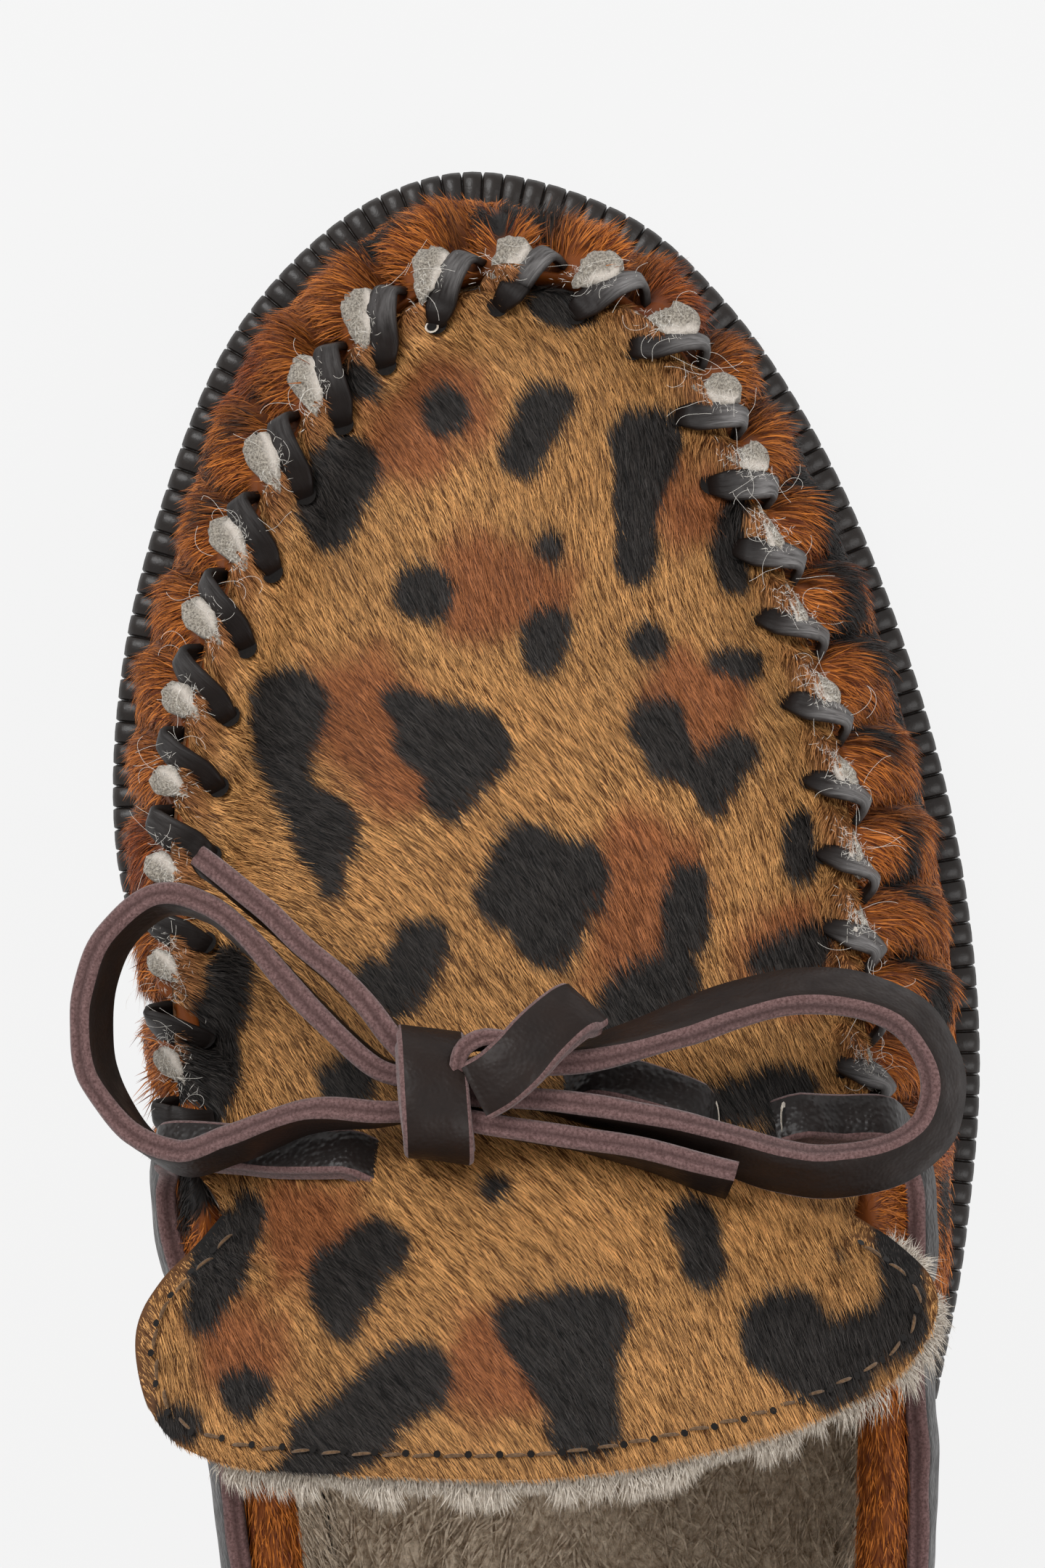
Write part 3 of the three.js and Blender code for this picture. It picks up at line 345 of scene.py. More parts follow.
def column(table: np.ndarray, name: int, at: Numbers) -> np.ndarray:
    """Smooth value of a table's column.

    Args:
        table: rows of numbers, with the place first.
        name: number of the column.
        at: places along the first column.

    Returns:
        The column's value at each place.
    """
    last = len(table) - 1
    xs, ys = table[:, 0], table[:, name]
    place = np.clip(np.asarray(at, float), xs[0], xs[-1])
    i = np.clip(np.searchsorted(xs, place, side="left") - 1, 0, last - 1)
    before = np.maximum(np.arange(last + 1) - 1, 0)
    after = np.minimum(np.arange(last + 1) + 1, last)
    slope = (ys[after] - ys[before]) / (xs[after] - xs[before])
    span = xs[i + 1] - xs[i]
    t = (place - xs[i]) / span
    ease = t * t * (3 - 2 * t)
    leave = t * (1 - t) ** 2 * span * slope[i]
    arrive = t * t * (t - 1) * span * slope[i + 1]
    return ys[i] + (ys[i + 1] - ys[i]) * ease + leave + arrive


def chord(a: np.ndarray, b: np.ndarray) -> np.ndarray:
    """Root of the distance between two knots."""
    return np.sqrt(np.maximum(np.linalg.norm(b - a, axis=-1, keepdims=True), 1e-6))


def catmull(
    p0: np.ndarray, p1: np.ndarray, p2: np.ndarray, p3: np.ndarray, w: np.ndarray
) -> np.ndarray:
    """Centripetal Catmull-Rom curve.

    Args:
        p0: knots before the spans.
        p1: knots at their starts.
        p2: knots at their ends.
        p3: knots after them.
        w: share of the way along each span.

    Returns:
        The point on each span.
    """
    d0, d1, d2 = chord(p0, p1), chord(p1, p2), chord(p2, p3)
    t1 = ((p1 - p0) / d0 - (p2 - p0) / (d0 + d1) + (p2 - p1) / d1) * d1
    t2 = ((p2 - p1) / d1 - (p3 - p1) / (d1 + d2) + (p3 - p2) / d2) * d1
    w = w[..., None]
    return p1 + t1 * w + (3 * (p2 - p1) - 2 * t1 - t2) * w**2 + (2 * (p1 - p2) + t1 + t2) * w**3


def open_curve(knots: np.ndarray, step: float) -> tuple[np.ndarray, np.ndarray]:
    """Smooth open curve through knots.

    Args:
        knots: places that it goes through.
        step: distance between two of its points.

    Returns:
        Its points at even distances, and each one's place as a number of knots with fractions.
    """
    ends = np.vstack([2 * knots[0] - knots[1], knots, 2 * knots[-1] - knots[-2]])
    place = np.linspace(0, len(knots) - 1, 24 * len(knots))
    i = np.minimum(place.astype(int), len(knots) - 2)
    fine = catmull(ends[i], ends[i + 1], ends[i + 2], ends[i + 3], place - i)
    at = gone(fine)
    even = np.linspace(0, at[-1], max(5, int(round(at[-1] / step)) + 1))
    return resample(even, at, fine), np.interp(even, at, place)

class PlanCurve:
    """Closed smooth outline in plan through two columns of PLAN."""

    def __init__(self, x: int, y: int) -> None:
        """Takes the numbers of the columns for length and width."""
        self.knots = np.stack([(PLAN[:, x] - 0.5) * LENGTH, PLAN[:, y] * BALL_WIDTH], axis=1)

    def point(self, row: Numbers) -> np.ndarray:
        """Place on the outline at a row with fractions."""
        row = np.asarray(row, float)
        i = np.floor(row).astype(int)
        return catmull(*[self.knots[(i + k) % ROWS] for k in (-1, 0, 1, 2)], row - i)

    def outward(self, row: Numbers) -> np.ndarray:
        """Direction square to the outline and away from the shoe."""
        row = np.asarray(row, float)
        along = unit(self.point(row + 0.003) - self.point(row - 0.003))
        return np.stack([-along[..., 1], along[..., 0]], axis=-1)


class Last:
    """Outer surfaces of the shoe, as functions in millimetres of the part's own sizes."""

    def __init__(self) -> None:
        """Notes the apron's two edges and the length of the seam round it."""
        self.sole = PlanCurve(0, 1)
        self.top = PlanCurve(2, 3)
        ahead = ROWS - INNER_THROAT + OUTER_THROAT
        rows = INNER_THROAT + np.linspace(0, ahead, 481)
        edge = self.top.point(rows) - self.top.outward(rows) * (WALL + CLEARANCE)
        self.tip = edge[np.argmax(edge[:, 0])]
        inner = edge[edge[:, 1] >= self.tip[1]]
        outer = edge[edge[:, 1] < self.tip[1]]
        self.inner = inner[np.argsort(inner[:, 0])]
        self.outer = outer[np.argsort(outer[:, 0])]
        self.seam_rows = INNER_THROAT + np.linspace(0.55, ahead - 0.55, 801)
        self.seam_at = gone(self.wrap(self.seam_rows, 1.0))
        self.seam_length = self.seam_at[-1]

    @staticmethod
    def share(x: Numbers) -> np.ndarray:
        """Share of the shoe's length, from heel to toe."""
        return np.asarray(x) / LENGTH + 0.5

    def ground(self, x: Numbers) -> np.ndarray:
        """Height of the underside over the floor, with its arch and toe spring."""
        at = self.share(x)
        return np.maximum(0, column(PROFILE, 1, at)) * np.where(at < 0.6, ARCH_LIFT, TOE_SPRING)

    def rim_z(self, x: Numbers) -> np.ndarray:
        """Height of the sole's rim."""
        thinner = (TOE_THICKNESS - HEEL_THICKNESS) * smoothstep(self.share(x), 0.25, 0.7)
        return self.ground(x) + HEEL_THICKNESS + thinner

    def top_z(self, x: Numbers) -> np.ndarray:
        """Height of the wrap's top line."""
        return column(PROFILE, 2, self.share(x)) * INSTEP_HEIGHT

    def crown_z(self, x: Numbers) -> np.ndarray:
        """Height of the apron's crown."""
        return column(PROFILE, 3, self.share(x)) * INSTEP_HEIGHT

    def wrap(self, row: Numbers, v: Numbers) -> np.ndarray:
        """Outer face of the wrap.

        Args:
            row: row round the shoe, with fractions.
            v: from the rim of the sole (0) to the top line (1).

        Returns:
            Points on it.
        """
        row, v = np.broadcast_arrays(np.asarray(row, float), np.asarray(v, float))
        out = self.sole.outward(row)
        foot = self.sole.point(row) - out * RIM
        foot_z = self.rim_z(foot[..., 0]) + CLEARANCE
        top = self.top.point(row)
        top_z = self.top_z(top[..., 0])
        rise = top_z - foot_z
        run = np.linalg.norm(top - foot, axis=-1)
        i = np.floor(row).astype(int)
        swell = PLAN[i % ROWS, 4] + (PLAN[(i + 1) % ROWS, 4] - PLAN[i % ROWS, 4]) * (row - i)
        bulge = foot + out * (swell * BALL_WIDTH)[..., None]
        shoulder = top + out * (0.5 * run)[..., None]
        low = np.concatenate([bulge, (foot_z + 0.42 * rise)[..., None]], -1)
        high = np.concatenate([shoulder, (top_z - 0.2 * rise)[..., None]], -1)
        start = np.concatenate([foot, foot_z[..., None]], -1)
        end = np.concatenate([top, top_z[..., None]], -1)
        t = np.clip(v, 0, 1)[..., None]
        s = 1 - t
        point = s**3 * start + 3 * s * s * t * low + 3 * s * t * t * high + t**3 * end
        point[..., 2] += np.minimum(v, 0) * (CUP_DEPTH - CLEARANCE)
        return point

    def wall_height(self, row: Numbers) -> np.ndarray:
        """Straight distance from the rim of the sole to the top line."""
        return np.linalg.norm(self.wrap(row, 1.0) - self.wrap(row, 0.0), axis=-1)

    def wrap_frame(self, row: Numbers, v: Numbers) -> tuple[np.ndarray, np.ndarray, np.ndarray]:
        """Directions on the wrap.

        Args:
            row: row round the shoe, with fractions.
            v: from the rim of the sole (0) to the top line (1).

        Returns:
            Directions along the rows, up the wall and out of it.
        """
        row, v = np.broadcast_arrays(np.asarray(row, float), np.asarray(v, float))
        along = unit(self.wrap(row + 0.02, v) - self.wrap(row - 0.02, v))
        low = np.clip(v, 0, 1) - np.where(v > 0, 0.02, 0)
        climb = unit(self.wrap(row, low + 0.04) - self.wrap(row, low))
        return along, climb, unit(-np.cross(along, climb))

    def thickness(self, row: Numbers, v: Numbers) -> np.ndarray:
        """Thickness of the wrap: one wall, and the folded roll along the collar.

        Args:
            row: row round the shoe, with fractions.
            v: from the rim of the sole (0) to the top line (1).

        Returns:
            Millimetres at each place.
        """
        turn = np.mod(row, ROWS)
        collar = smoothstep(np.minimum(turn - OUTER_THROAT, INNER_THROAT - turn), 0.3, 1.1)
        below = self.wrap(row, np.ones_like(v))[..., 2] - self.wrap(row, v)[..., 2]
        rolled = 1 - smoothstep(below, ROLL_DEPTH * 0.45, ROLL_DEPTH)
        return WALL + (COLLAR_ROLL - WALL) * collar * rolled

    def edges(self, x: Numbers) -> tuple[np.ndarray, ...]:
        """Edges and arch of apron and tongue.

        Args:
            x: places along the shoe.

        Returns:
            Inner edge, outer edge, middle of the arch, half its width and height of its edge.
        """
        x = np.asarray(x, float)
        at = self.share(x)
        inner = np.interp(x, self.inner[:, 0], self.inner[:, 1])
        outer = np.interp(x, self.outer[:, 0], self.outer[:, 1])
        blend = smoothstep(at, THROAT, THROAT + THROAT_EASE)
        edge = column(TONGUE, 4, THROAT) * INSTEP_HEIGHT * (1 - blend) + self.top_z(x) * blend
        front = (inner, outer, (inner + outer) / 2, np.maximum((inner - outer) / 2, 1.0), edge)
        back = (
            column(TONGUE, 1, at) * BALL_WIDTH,
            column(TONGUE, 2, at) * BALL_WIDTH,
            0.0,
            column(TONGUE, 3, at) * BALL_WIDTH,
            column(TONGUE, 4, at) * INSTEP_HEIGHT,
        )
        return tuple(np.where(at > THROAT, a, b) for a, b in zip(front, back))

    def arch_z(self, x: Numbers, y: Numbers) -> np.ndarray:
        """Height of the arch over a place in plan, with a sharp bend at the throat."""
        _, _, middle, half, z = self.edges(x)
        q = np.clip((y - middle) / half, -1, 1)
        return z + np.maximum(0, self.crown_z(x) - z) * (1 - q * q)

    def apron_z(self, x: Numbers, y: Numbers) -> np.ndarray:
        """Height of apron and tongue, eased over the throat."""
        ease = np.clip(1 - np.abs(x - THROAT_X) / 9, 0, 1)
        return sum(self.arch_z(x + step * ease, y) for step in (-5, -2.5, 0, 2.5, 5)) / 5

    def apron(self, x: Numbers, y: Numbers) -> tuple[np.ndarray, np.ndarray]:
        """Upper face of apron and tongue.

        Args:
            x: places along the shoe.
            y: places across it.

        Returns:
            Points on the face and directions out of it.
        """
        x, y = np.broadcast_arrays(np.asarray(x, float), np.asarray(y, float))
        step = 0.6
        slope_x = (self.apron_z(x + step, y) - self.apron_z(x - step, y)) / (2 * step)
        slope_y = (self.apron_z(x, y + step) - self.apron_z(x, y - step)) / (2 * step)
        normal = unit(np.stack([-slope_x, -slope_y, np.ones_like(slope_x)], -1))
        return np.stack([x, y, self.apron_z(x, y)], -1), normal

    def seam_row(self, along: Numbers) -> np.ndarray:
        """Row of the wrap at a distance along the seam."""
        return np.interp(along, self.seam_at, self.seam_rows)

    def seam_place(self, row: Numbers) -> np.ndarray:
        """Distance along the seam at a row of the wrap."""
        return np.interp(row, self.seam_rows, self.seam_at)

    def seam(self, along: Numbers, across: Numbers, up: Numbers) -> np.ndarray:
        """Points beside the seam.

        Args:
            along: distance along it.
            across: distance across it, positive on the apron's side.
            up: height above the leather.

        Returns:
            The points.
        """
        along, across, up = np.broadcast_arrays(
            *(np.asarray(a, float) for a in (along, across, up))
        )
        row = self.seam_row(along)
        v = 1 - np.maximum(-across, 0) / self.wall_height(row)
        outside = self.wrap(row, v) + self.wrap_frame(row, v)[2] * up[..., None]
        plan = self.top.point(row) - self.top.outward(row) * across[..., None]
        inside = np.concatenate([plan, self.apron_z(plan[..., 0], plan[..., 1])[..., None]], -1)
        lean = smoothstep(across, 0, 5.2)[..., None]
        crest = self.wrap_frame(row, 1.0)[2]
        inside = inside + unit(crest * (1 - lean) + UP * lean) * up[..., None]
        return np.where((across > 0)[..., None], inside, outside)


LAST = Last()


# Materials


def linear(colour: str) -> tuple[float, float, float, float]:
    """Linear colour of an sRGB hex value."""
    parts = [int(colour[i : i + 2], 16) / 255 for i in (1, 3, 5)]
    return (*[c / 12.92 if c <= 0.04045 else ((c + 0.055) / 1.055) ** 2.4 for c in parts], 1.0)


def feed(tree: bpy.types.NodeTree, node: bpy.types.Node, inputs: dict) -> None:
    """Sets inputs of a node.

    Args:
        tree: tree that it is in.
        node: the node.
        inputs: values or output sockets, by name or number of the input.
    """
    for name, value in inputs.items():
        if isinstance(value, bpy.types.NodeSocket):
            tree.links.new(value, node.inputs[name])
        else:
            node.inputs[name].default_value = value


def add(
    tree: bpy.types.NodeTree, kind: str, settings: dict | None = None, inputs: dict | None = None
) -> bpy.types.Node:
    """Adds one shader node.

    Args:
        tree: tree that gets it.
        kind: class name after ShaderNode.
        settings: its properties.
        inputs: values or output sockets for its inputs, by name or number.

    Returns:
        The node.
    """
    made = tree.nodes.new("ShaderNode" + kind)
    for name, value in (settings or {}).items():
        setattr(made, name, value)
    feed(tree, made, inputs or {})
    return made


def mix(
    tree: bpy.types.NodeTree, factor: Source, a: Source, b: Source, blend: str = "MIX"
) -> bpy.types.NodeSocket:
    """Mixes two colours.

    Args:
        tree: tree that gets the node.
        factor: share of the second colour, as a number or socket.
        a: first colour.
        b: second colour.
        blend: how they mix.

    Returns:
        Socket of the mixed colour.
    """
    made = add(tree, "Mix", {"data_type": "RGBA", "blend_type": blend}, {0: factor, 6: a, 7: b})
    return made.outputs[2]


def attribute(tree: bpy.types.NodeTree, name: str) -> bpy.types.NodeSocket:
    """Socket of a number that the mesh carries at its points."""
    return add(tree, "Attribute", {"attribute_name": name}).outputs["Fac"]


def noise(
    tree: bpy.types.NodeTree, size_mm: float, detail: float, rough: float = 0.5
) -> bpy.types.NodeSocket:
    """Uneven noise in the object's own coordinates.

    Args:
        tree: tree that gets the nodes.
        size_mm: usual size of its patches.
        detail: number of finer layers.
        rough: strength of the finer layers.

    Returns:
        Socket of its value.
    """
    coords = add(tree, "TexCoord").outputs["Object"]
    inputs = {"Vector": coords, "Scale": 1 / (size_mm * MM), "Detail": detail, "Roughness": rough}
    return add(tree, "TexNoise", None, inputs).outputs[0]


def rescale(
    tree: bpy.types.NodeTree, value: bpy.types.NodeSocket, source: tuple, target: tuple
) -> bpy.types.NodeSocket:
    """Value carried from one range of numbers to another, as a socket."""
    inputs = {0: value, 1: source[0], 2: source[1], 3: target[0], 4: target[1]}
    return add(tree, "MapRange", None, inputs).outputs[0]


def times(tree: bpy.types.NodeTree, a: Source, b: Source) -> bpy.types.NodeSocket:
    """Product of two values, as a socket."""
    return add(tree, "Math", {"operation": "MULTIPLY"}, {0: a, 1: b}).outputs[0]


def bump(
    tree: bpy.types.NodeTree,
    height: bpy.types.NodeSocket,
    strength: float,
    depth_mm: float,
    under: bpy.types.NodeSocket | None = None,
) -> bpy.types.NodeSocket:
    """Fine relief.

    Args:
        tree: tree that gets the node.
        height: height of the relief.
        strength: how much it counts.
        depth_mm: its depth.
        under: relief that it lies on.

    Returns:
        Socket of the surface's direction.
    """
    inputs = {"Strength": strength, "Distance": depth_mm * MM, "Height": height}
    if under is not None:
        inputs["Normal"] = under
    return add(tree, "Bump", None, inputs).outputs[0]


def shader(name: str) -> tuple[bpy.types.Material, bpy.types.NodeTree, bpy.types.Node]:
    """New material with its tree and its Principled shader."""
    material = bpy.data.materials.new(name)
    material.use_nodes = True
    return material, material.node_tree, material.node_tree.nodes["Principled BSDF"]


@dataclass(frozen=True)
class HideFinish:
    """Hair-on calf hide: ground hair, black spots and redder rosettes."""

    name: str
    ground: str
    light: str
    rosette: str
    rosette_light: str
    ink: str
    ink_sheen: str
    strand_mm: float
    roughness: float = 0.55

    def build(self) -> bpy.types.Material:
        """Straight glossy hair, each a little lighter or darker, over skin of the same dye; the
        skin's darker tone and the dimmed troughs are painted shade.
        """
        material, tree, bsdf = shader(self.name)
        tone = attribute(tree, "tone")
        brown = mix(tree, tone, linear(self.ground), linear(self.light))
        rust = mix(tree, tone, linear(self.rosette), linear(self.rosette_light))
        red = mix(tree, attribute(tree, "patch"), brown, rust)
        cloud = rescale(tree, noise(tree, 14, 3.0), (0.3, 0.7), (0.86, 1.12))
        varied = mix(tree, 1.0, red, cloud, "MULTIPLY")
        black = mix(tree, tone, linear(self.ink), linear(self.ink_sheen))
        coat = mix(tree, attribute(tree, "ink"), varied, black)
        # Painted shade: the colour dims down to 35 per cent where the shade attribute marks the
        # troughs at the stitches
        dim = rescale(tree, attribute(tree, "shade"), (0.0, 1.0), (1.0, 0.35))
        feed(tree, bsdf, {
            "Base Color": mix(tree, 1.0, coat, dim, "MULTIPLY"),
            "Normal": bump(tree, noise(tree, self.strand_mm, 2.0), 0.25, 0.2),
            "Roughness": self.roughness,
            "Specular IOR Level": 0.2,
        })
        return material


@dataclass(frozen=True)
class LeatherFinish:
    """Grain leather with its pebble size and gloss, and a painted sheen colour where it has one."""

    name: str
    low: str
    high: str
    pebble_mm: float
    depth_mm: float
    roughness: float
    specular: float = 0.3
    painted_sheen: str | None = None

    def build(self) -> bpy.types.Material:
        """Dyed grain: dark hollows between pebbles in its relief, or grain streaks lightened by a
        painted sheen along a thong.
        """
        material, tree, bsdf = shader(self.name)
        warp = noise(tree, 3, 3.0)
        colour = mix(tree, warp, linear(self.low), linear(self.high))
        if self.painted_sheen:
            # Painted sheen: grain streaks lighten the colour towards the sheen colour, as much as
            # the sheen attribute says
            weft = {"X": attribute(tree, "weft"), "Y": attribute(tree, "run")}
            strap = add(tree, "CombineXYZ", None, weft).outputs[0]
            grain = {"Vector": strap, "Scale": 3.2, "Detail": 4.0, "Roughness": 0.6}
            height = add(tree, "TexNoise", None, grain).outputs[0]
            lit = rescale(tree, height, (0.3, 0.72), (0.15, 1.0))
            sheen = times(tree, lit, attribute(tree, "sheen"))
            colour = mix(tree, sheen, colour, linear(self.painted_sheen))
        else:
            coords = add(tree, "TexCoord").outputs["Object"]
            cells = {"Vector": coords, "Scale": 1 / (self.pebble_mm * MM)}
            height = add(tree, "TexVoronoi", {"feature": "SMOOTH_F1"}, cells).outputs[0]
            height = times(tree, height, -1.0)
        fine = bump(tree, height, 0.9, self.depth_mm)
        dull, bright = self.roughness + 0.1, self.roughness - 0.08
        feed(tree, bsdf, {
            "Base Color": colour,
            "Normal": bump(tree, warp, 0.6, 0.25, fine),
            "Roughness": rescale(tree, warp, (0.3, 0.7), (dull, bright)),
            "Specular IOR Level": self.specular,
        })
        return material


@dataclass(frozen=True)
class NapFinish:
    """Suede, fleece or cut fibres: matt, with a soft nap."""

    name: str
    low: str
    high: str
    nap_mm: float
    depth_mm: float
    groove_shade_and_fluff: str | None = None

    def build(self) -> bpy.types.Material:
        """Fibrous cut face, lighter where fibres stand up, with painted shade in the groove between
        two plies, or pale fluff on a raw edge.
        """
        material, tree, bsdf = shader(self.name)
        nap = noise(tree, self.nap_mm, 5.0, 0.65)
        spread_out = rescale(tree, nap, (0.35, 0.65), (0.0, 1.0))
        colour = mix(tree, spread_out, linear(self.low), linear(self.high))
        if self.groove_shade_and_fluff:
            # Last colour: painted shade along a lace edge's groove, or the pale fluff of a raw edge
            colour = mix(tree, attribute(tree, "groove_shade_and_fluff"), colour, linear(self.groove_shade_and_fluff))
        feed(tree, bsdf, {
            "Base Color": colour,
            "Normal": bump(tree, nap, 0.8, self.depth_mm),
            "Roughness": 0.92,
            "Specular IOR Level": 0.2,
            "Sheen Weight": 0.25,
        })
        return material


APRON_HAIR = HideFinish(
    "Short calf hair", "#4f2d13", "#e8ad6b", "#5b3119", "#b87447", "#0e0c0b", "#403b38", 0.5
)
WRAP_HAIR = HideFinish(
    "Long calf hair", "#5a2409", "#d07a30", "#4e1f0a", "#a85524", "#0e0a09", "#2f2926", 0.6
)
# The thong's last colour is its painted sheen, a light grey highlight
THONG = LeatherFinish(
    "Waxed leather thong", "#0d0908", "#1f1714", 0.45, 0.08, 0.44, 0.16, "#8f8c8b"
)
LACE_GRAIN = LeatherFinish("Full-grain lace leather", "#150e0c", "#291d18", 0.45, 0.06, 0.5, 0.25)
LACE_PEBBLE = LeatherFinish("Pebbled lace leather", "#110d0c", "#2d2624", 0.6, 0.2, 0.42, 0.32)
# The suede edge's last colour is painted shade in the groove between its plies
LACE_SUEDE = NapFinish("Suede lace edge", "#533b39", "#836664", 0.3, 0.12, "#3f2b29")
RAW_EDGE = NapFinish("Raw hide edge", "#5d554b", "#cdc3b4", 0.24, 0.5, "#e6dbcf")
CUT_EDGE = NapFinish("Cut hide edge", "#221a15", "#40332a", 0.4, 0.1)
FLEECE = NapFinish("Shearling lining", "#a18c74", "#f7e6cf", 0.8, 0.4)
PALE_FLEECE = NapFinish("Shearling cut rim", "#b3a594", "#eee4d6", 0.6, 0.3)
FIBRE = NapFinish("Loose white fibres", "#d8d2c8", "#f2eee6", 0.5, 0.05)
THREAD = NapFinish("Waxed linen thread", "#4c3826", "#7a5f45", 0.3, 0.08)
# Punched hole: a near-black disc of painted shade standing for the inside of a hole
HOLE = NapFinish("Punched hole", "#0a0706", "#15100d", 0.4, 0.05)


@dataclass
class Sole:
    """Moulded cup sole whose ribs run from the tread over the top of the rim."""

    rubber: bpy.types.Material
    ribs: int = 236
    rib_depth: float = 0.55
    crest_dip: float = 0.8

    def build(self) -> None:
        """Makes the sole and lets it stand for the outsole."""
        # Place in one rib and share of the groove's depth there
        shape = np.array([
            (0.0, 1.0), (0.05, 0.25), (0.1, 0.0), (0.5, -0.06), (0.9, 0.0), (0.95, 0.25),
        ])
        fine = np.linspace(0, ROWS, 4000, endpoint=False)
        line = LAST.sole.point(fine)
        at = gone(np.vstack([line, line[:1]]))
        places = (np.arange(self.ribs)[:, None] + shape[None, :, 0]).ravel() / self.ribs
        rows = np.interp(places * at[-1], at, np.append(fine, ROWS))
        outline, out = LAST.sole.point(rows), LAST.sole.outward(rows)
        groove = np.tile(shape[:, 1], self.ribs)
        floor, rim = LAST.ground(outline[:, 0]), LAST.rim_z(outline[:, 0])
        # Inset from the outline, height as a share from floor to rim, millimetres added, and
        # share of groove
        profile = [
            (7.5, 1, -CUP_DEPTH, 0), (7.5, 1, -0.3, 0), (4.9, 1, 0, 0), (4.4, 1, 0, 1),
            (2.6, 1, 0.05, 1), (1.3, 1, -0.1, 1), (0.75, 1, -0.45, 1), (0.4, 1, -1.1, 1),
            (0.25, 0.6, 0, 1), (0.15, 0.3, 0, 1), (0.1, 0, 3.0, 1), (0.12, 0, 2.6, 0.6),
            (0.8, 0, 2.4, 0), (0.8, 0, 0.3, 0), (1.2, 0, 0, 0),
        ]
        rings = []
        for inset, share, lift, cut in profile:
            depth = inset + self.rib_depth * cut * groove
            dip = self.crest_dip * cut * groove * (share == 1)
            z = floor + (rim - floor) * share + lift - dip
            plan = outline - out * depth[:, None]
            rings.append(np.concatenate([plan, np.maximum(z, 0)[:, None]], 1))
        # The underside, closed along the shoe's middle line
        for wide in (0.5, 0.0):
            plan = outline * [0.9, wide]
            rings.append(np.concatenate([plan, LAST.ground(plan[:, 0])[:, None] + 0.3], 1))
        points = np.stack(rings, 1).reshape(-1, 3)
        quads = grid_faces(len(outline), len(rings), round_rows=True)[:, ::-1]
        made = build_mesh("ribbed_outsole", points, quads, [self.rubber], Slot.RUBBER)
        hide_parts("outsole")


def rubber() -> bpy.types.Material:
    """Moulded rubber: dark brown, satin, with a faint moulding grain."""
    material, tree, bsdf = shader("Moulded rubber")
    feed(tree, bsdf, {
        "Base Color": mix(tree, noise(tree, 6, 4.0), linear("#171311"), linear("#2d2622")),
        "Normal": bump(tree, noise(tree, 0.5, 2.0), 0.5, 0.08),
        "Roughness": 0.38,
        "Specular IOR Level": 0.42,
    })
    return material


def floor_finish() -> bpy.types.Material:
    """Matt white studio board."""
    material, tree, bsdf = shader("White studio board")
    feed(tree, bsdf, {
        "Base Color": linear("#303030"),
        "Roughness": 0.9,
        "Emission Color": linear("#ffffff"),
        "Emission Strength": 0.863,
    })
    return material


# Meshes


def build_mesh(
    name: str,
    points: np.ndarray,
    faces: np.ndarray,
    materials: list[bpy.types.Material],
    slot: Slot,
    attributes: dict[str, np.ndarray] | None = None,
    material_index: np.ndarray | None = None,
) -> bpy.types.Object:
    """Makes one smooth mesh object that rides on the shoe.

    Args:
        name: its name.
        points: its corners in millimetres.
        faces: corners of its triangles or quads, one face to a row.
        materials: its materials.
        slot: record slot of its finish; not used.
        attributes: numbers at its points, by name.
        material_index: material of each face.

    Returns:
        The object.
    """
    mesh = bpy.data.meshes.new(name)
    sides = faces.shape[1]
    mesh.vertices.add(len(points))
    mesh.vertices.foreach_set("co", (points * MM).astype(np.float32).ravel())
    mesh.loops.add(faces.size)
    mesh.loops.foreach_set("vertex_index", faces.astype(np.int32).ravel())
    mesh.polygons.add(len(faces))
    mesh.polygons.foreach_set("loop_start", np.arange(0, faces.size, sides, dtype=np.int32))
    mesh.polygons.foreach_set("loop_total", np.full(len(faces), sides, np.int32))
    if material_index is not None:
        mesh.polygons.foreach_set("material_index", material_index.astype(np.int32))
    mesh.update(calc_edges=True)
    mesh.polygons.foreach_set("use_smooth", np.full(len(faces), True))
    for key, values in (attributes or {}).items():
        made = mesh.attributes.new(key, "FLOAT", "POINT")
        made.data.foreach_set("value", np.asarray(values, np.float32).ravel())
    mesh.validate()
    for material in materials:
        mesh.materials.append(material)
    made = bpy.data.objects.new(name, mesh)
    bpy.context.scene.collection.objects.link(made)
    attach(made, "root")
    return made


def grid_faces(
    rows: int, columns: int, round_rows: bool = False, round_columns: bool = False
) -> np.ndarray:
    """Quads between the points of a grid.

    Args:
        rows: its number of rows.
        columns: its number of columns.
        round_rows: whether the last row joins the first.
        round_columns: whether the last column joins the first.

    Returns:
        Four point numbers to a quad.
    """
    i, j = np.meshgrid(
        np.arange(rows if round_rows else rows - 1),
        np.arange(columns if round_columns else columns - 1),
        indexing="ij",
    )
    here, ahead, beside = i * columns, (i + 1) % rows * columns, (j + 1) % columns
    return np.stack([here + j, ahead + j, ahead + beside, here + beside], -1).reshape(-1, 4)


def vertex_normals(points: np.ndarray, quads: np.ndarray) -> np.ndarray:
    """Averaged directions out of a mesh of quads.

    Args:
        points: its corners.
        quads: its faces.

    Returns:
        One direction to a corner.
    """
    a, b, c, d = (points[quads[:, k]] for k in range(4))
    face = np.cross(c - a, d - b)
    total = np.zeros_like(points)
    for k in range(4):
        np.add.at(total, quads[:, k], face)
    return unit(total)


def joined(parts: list[tuple[np.ndarray, np.ndarray]]) -> tuple[np.ndarray, np.ndarray]:
    """Points and faces of several pieces as those of one."""
    start = np.cumsum([0] + [len(p) for p, _ in parts[:-1]])
    return np.vstack([p for p, _ in parts]), np.vstack([f + s for (_, f), s in zip(parts, start)])


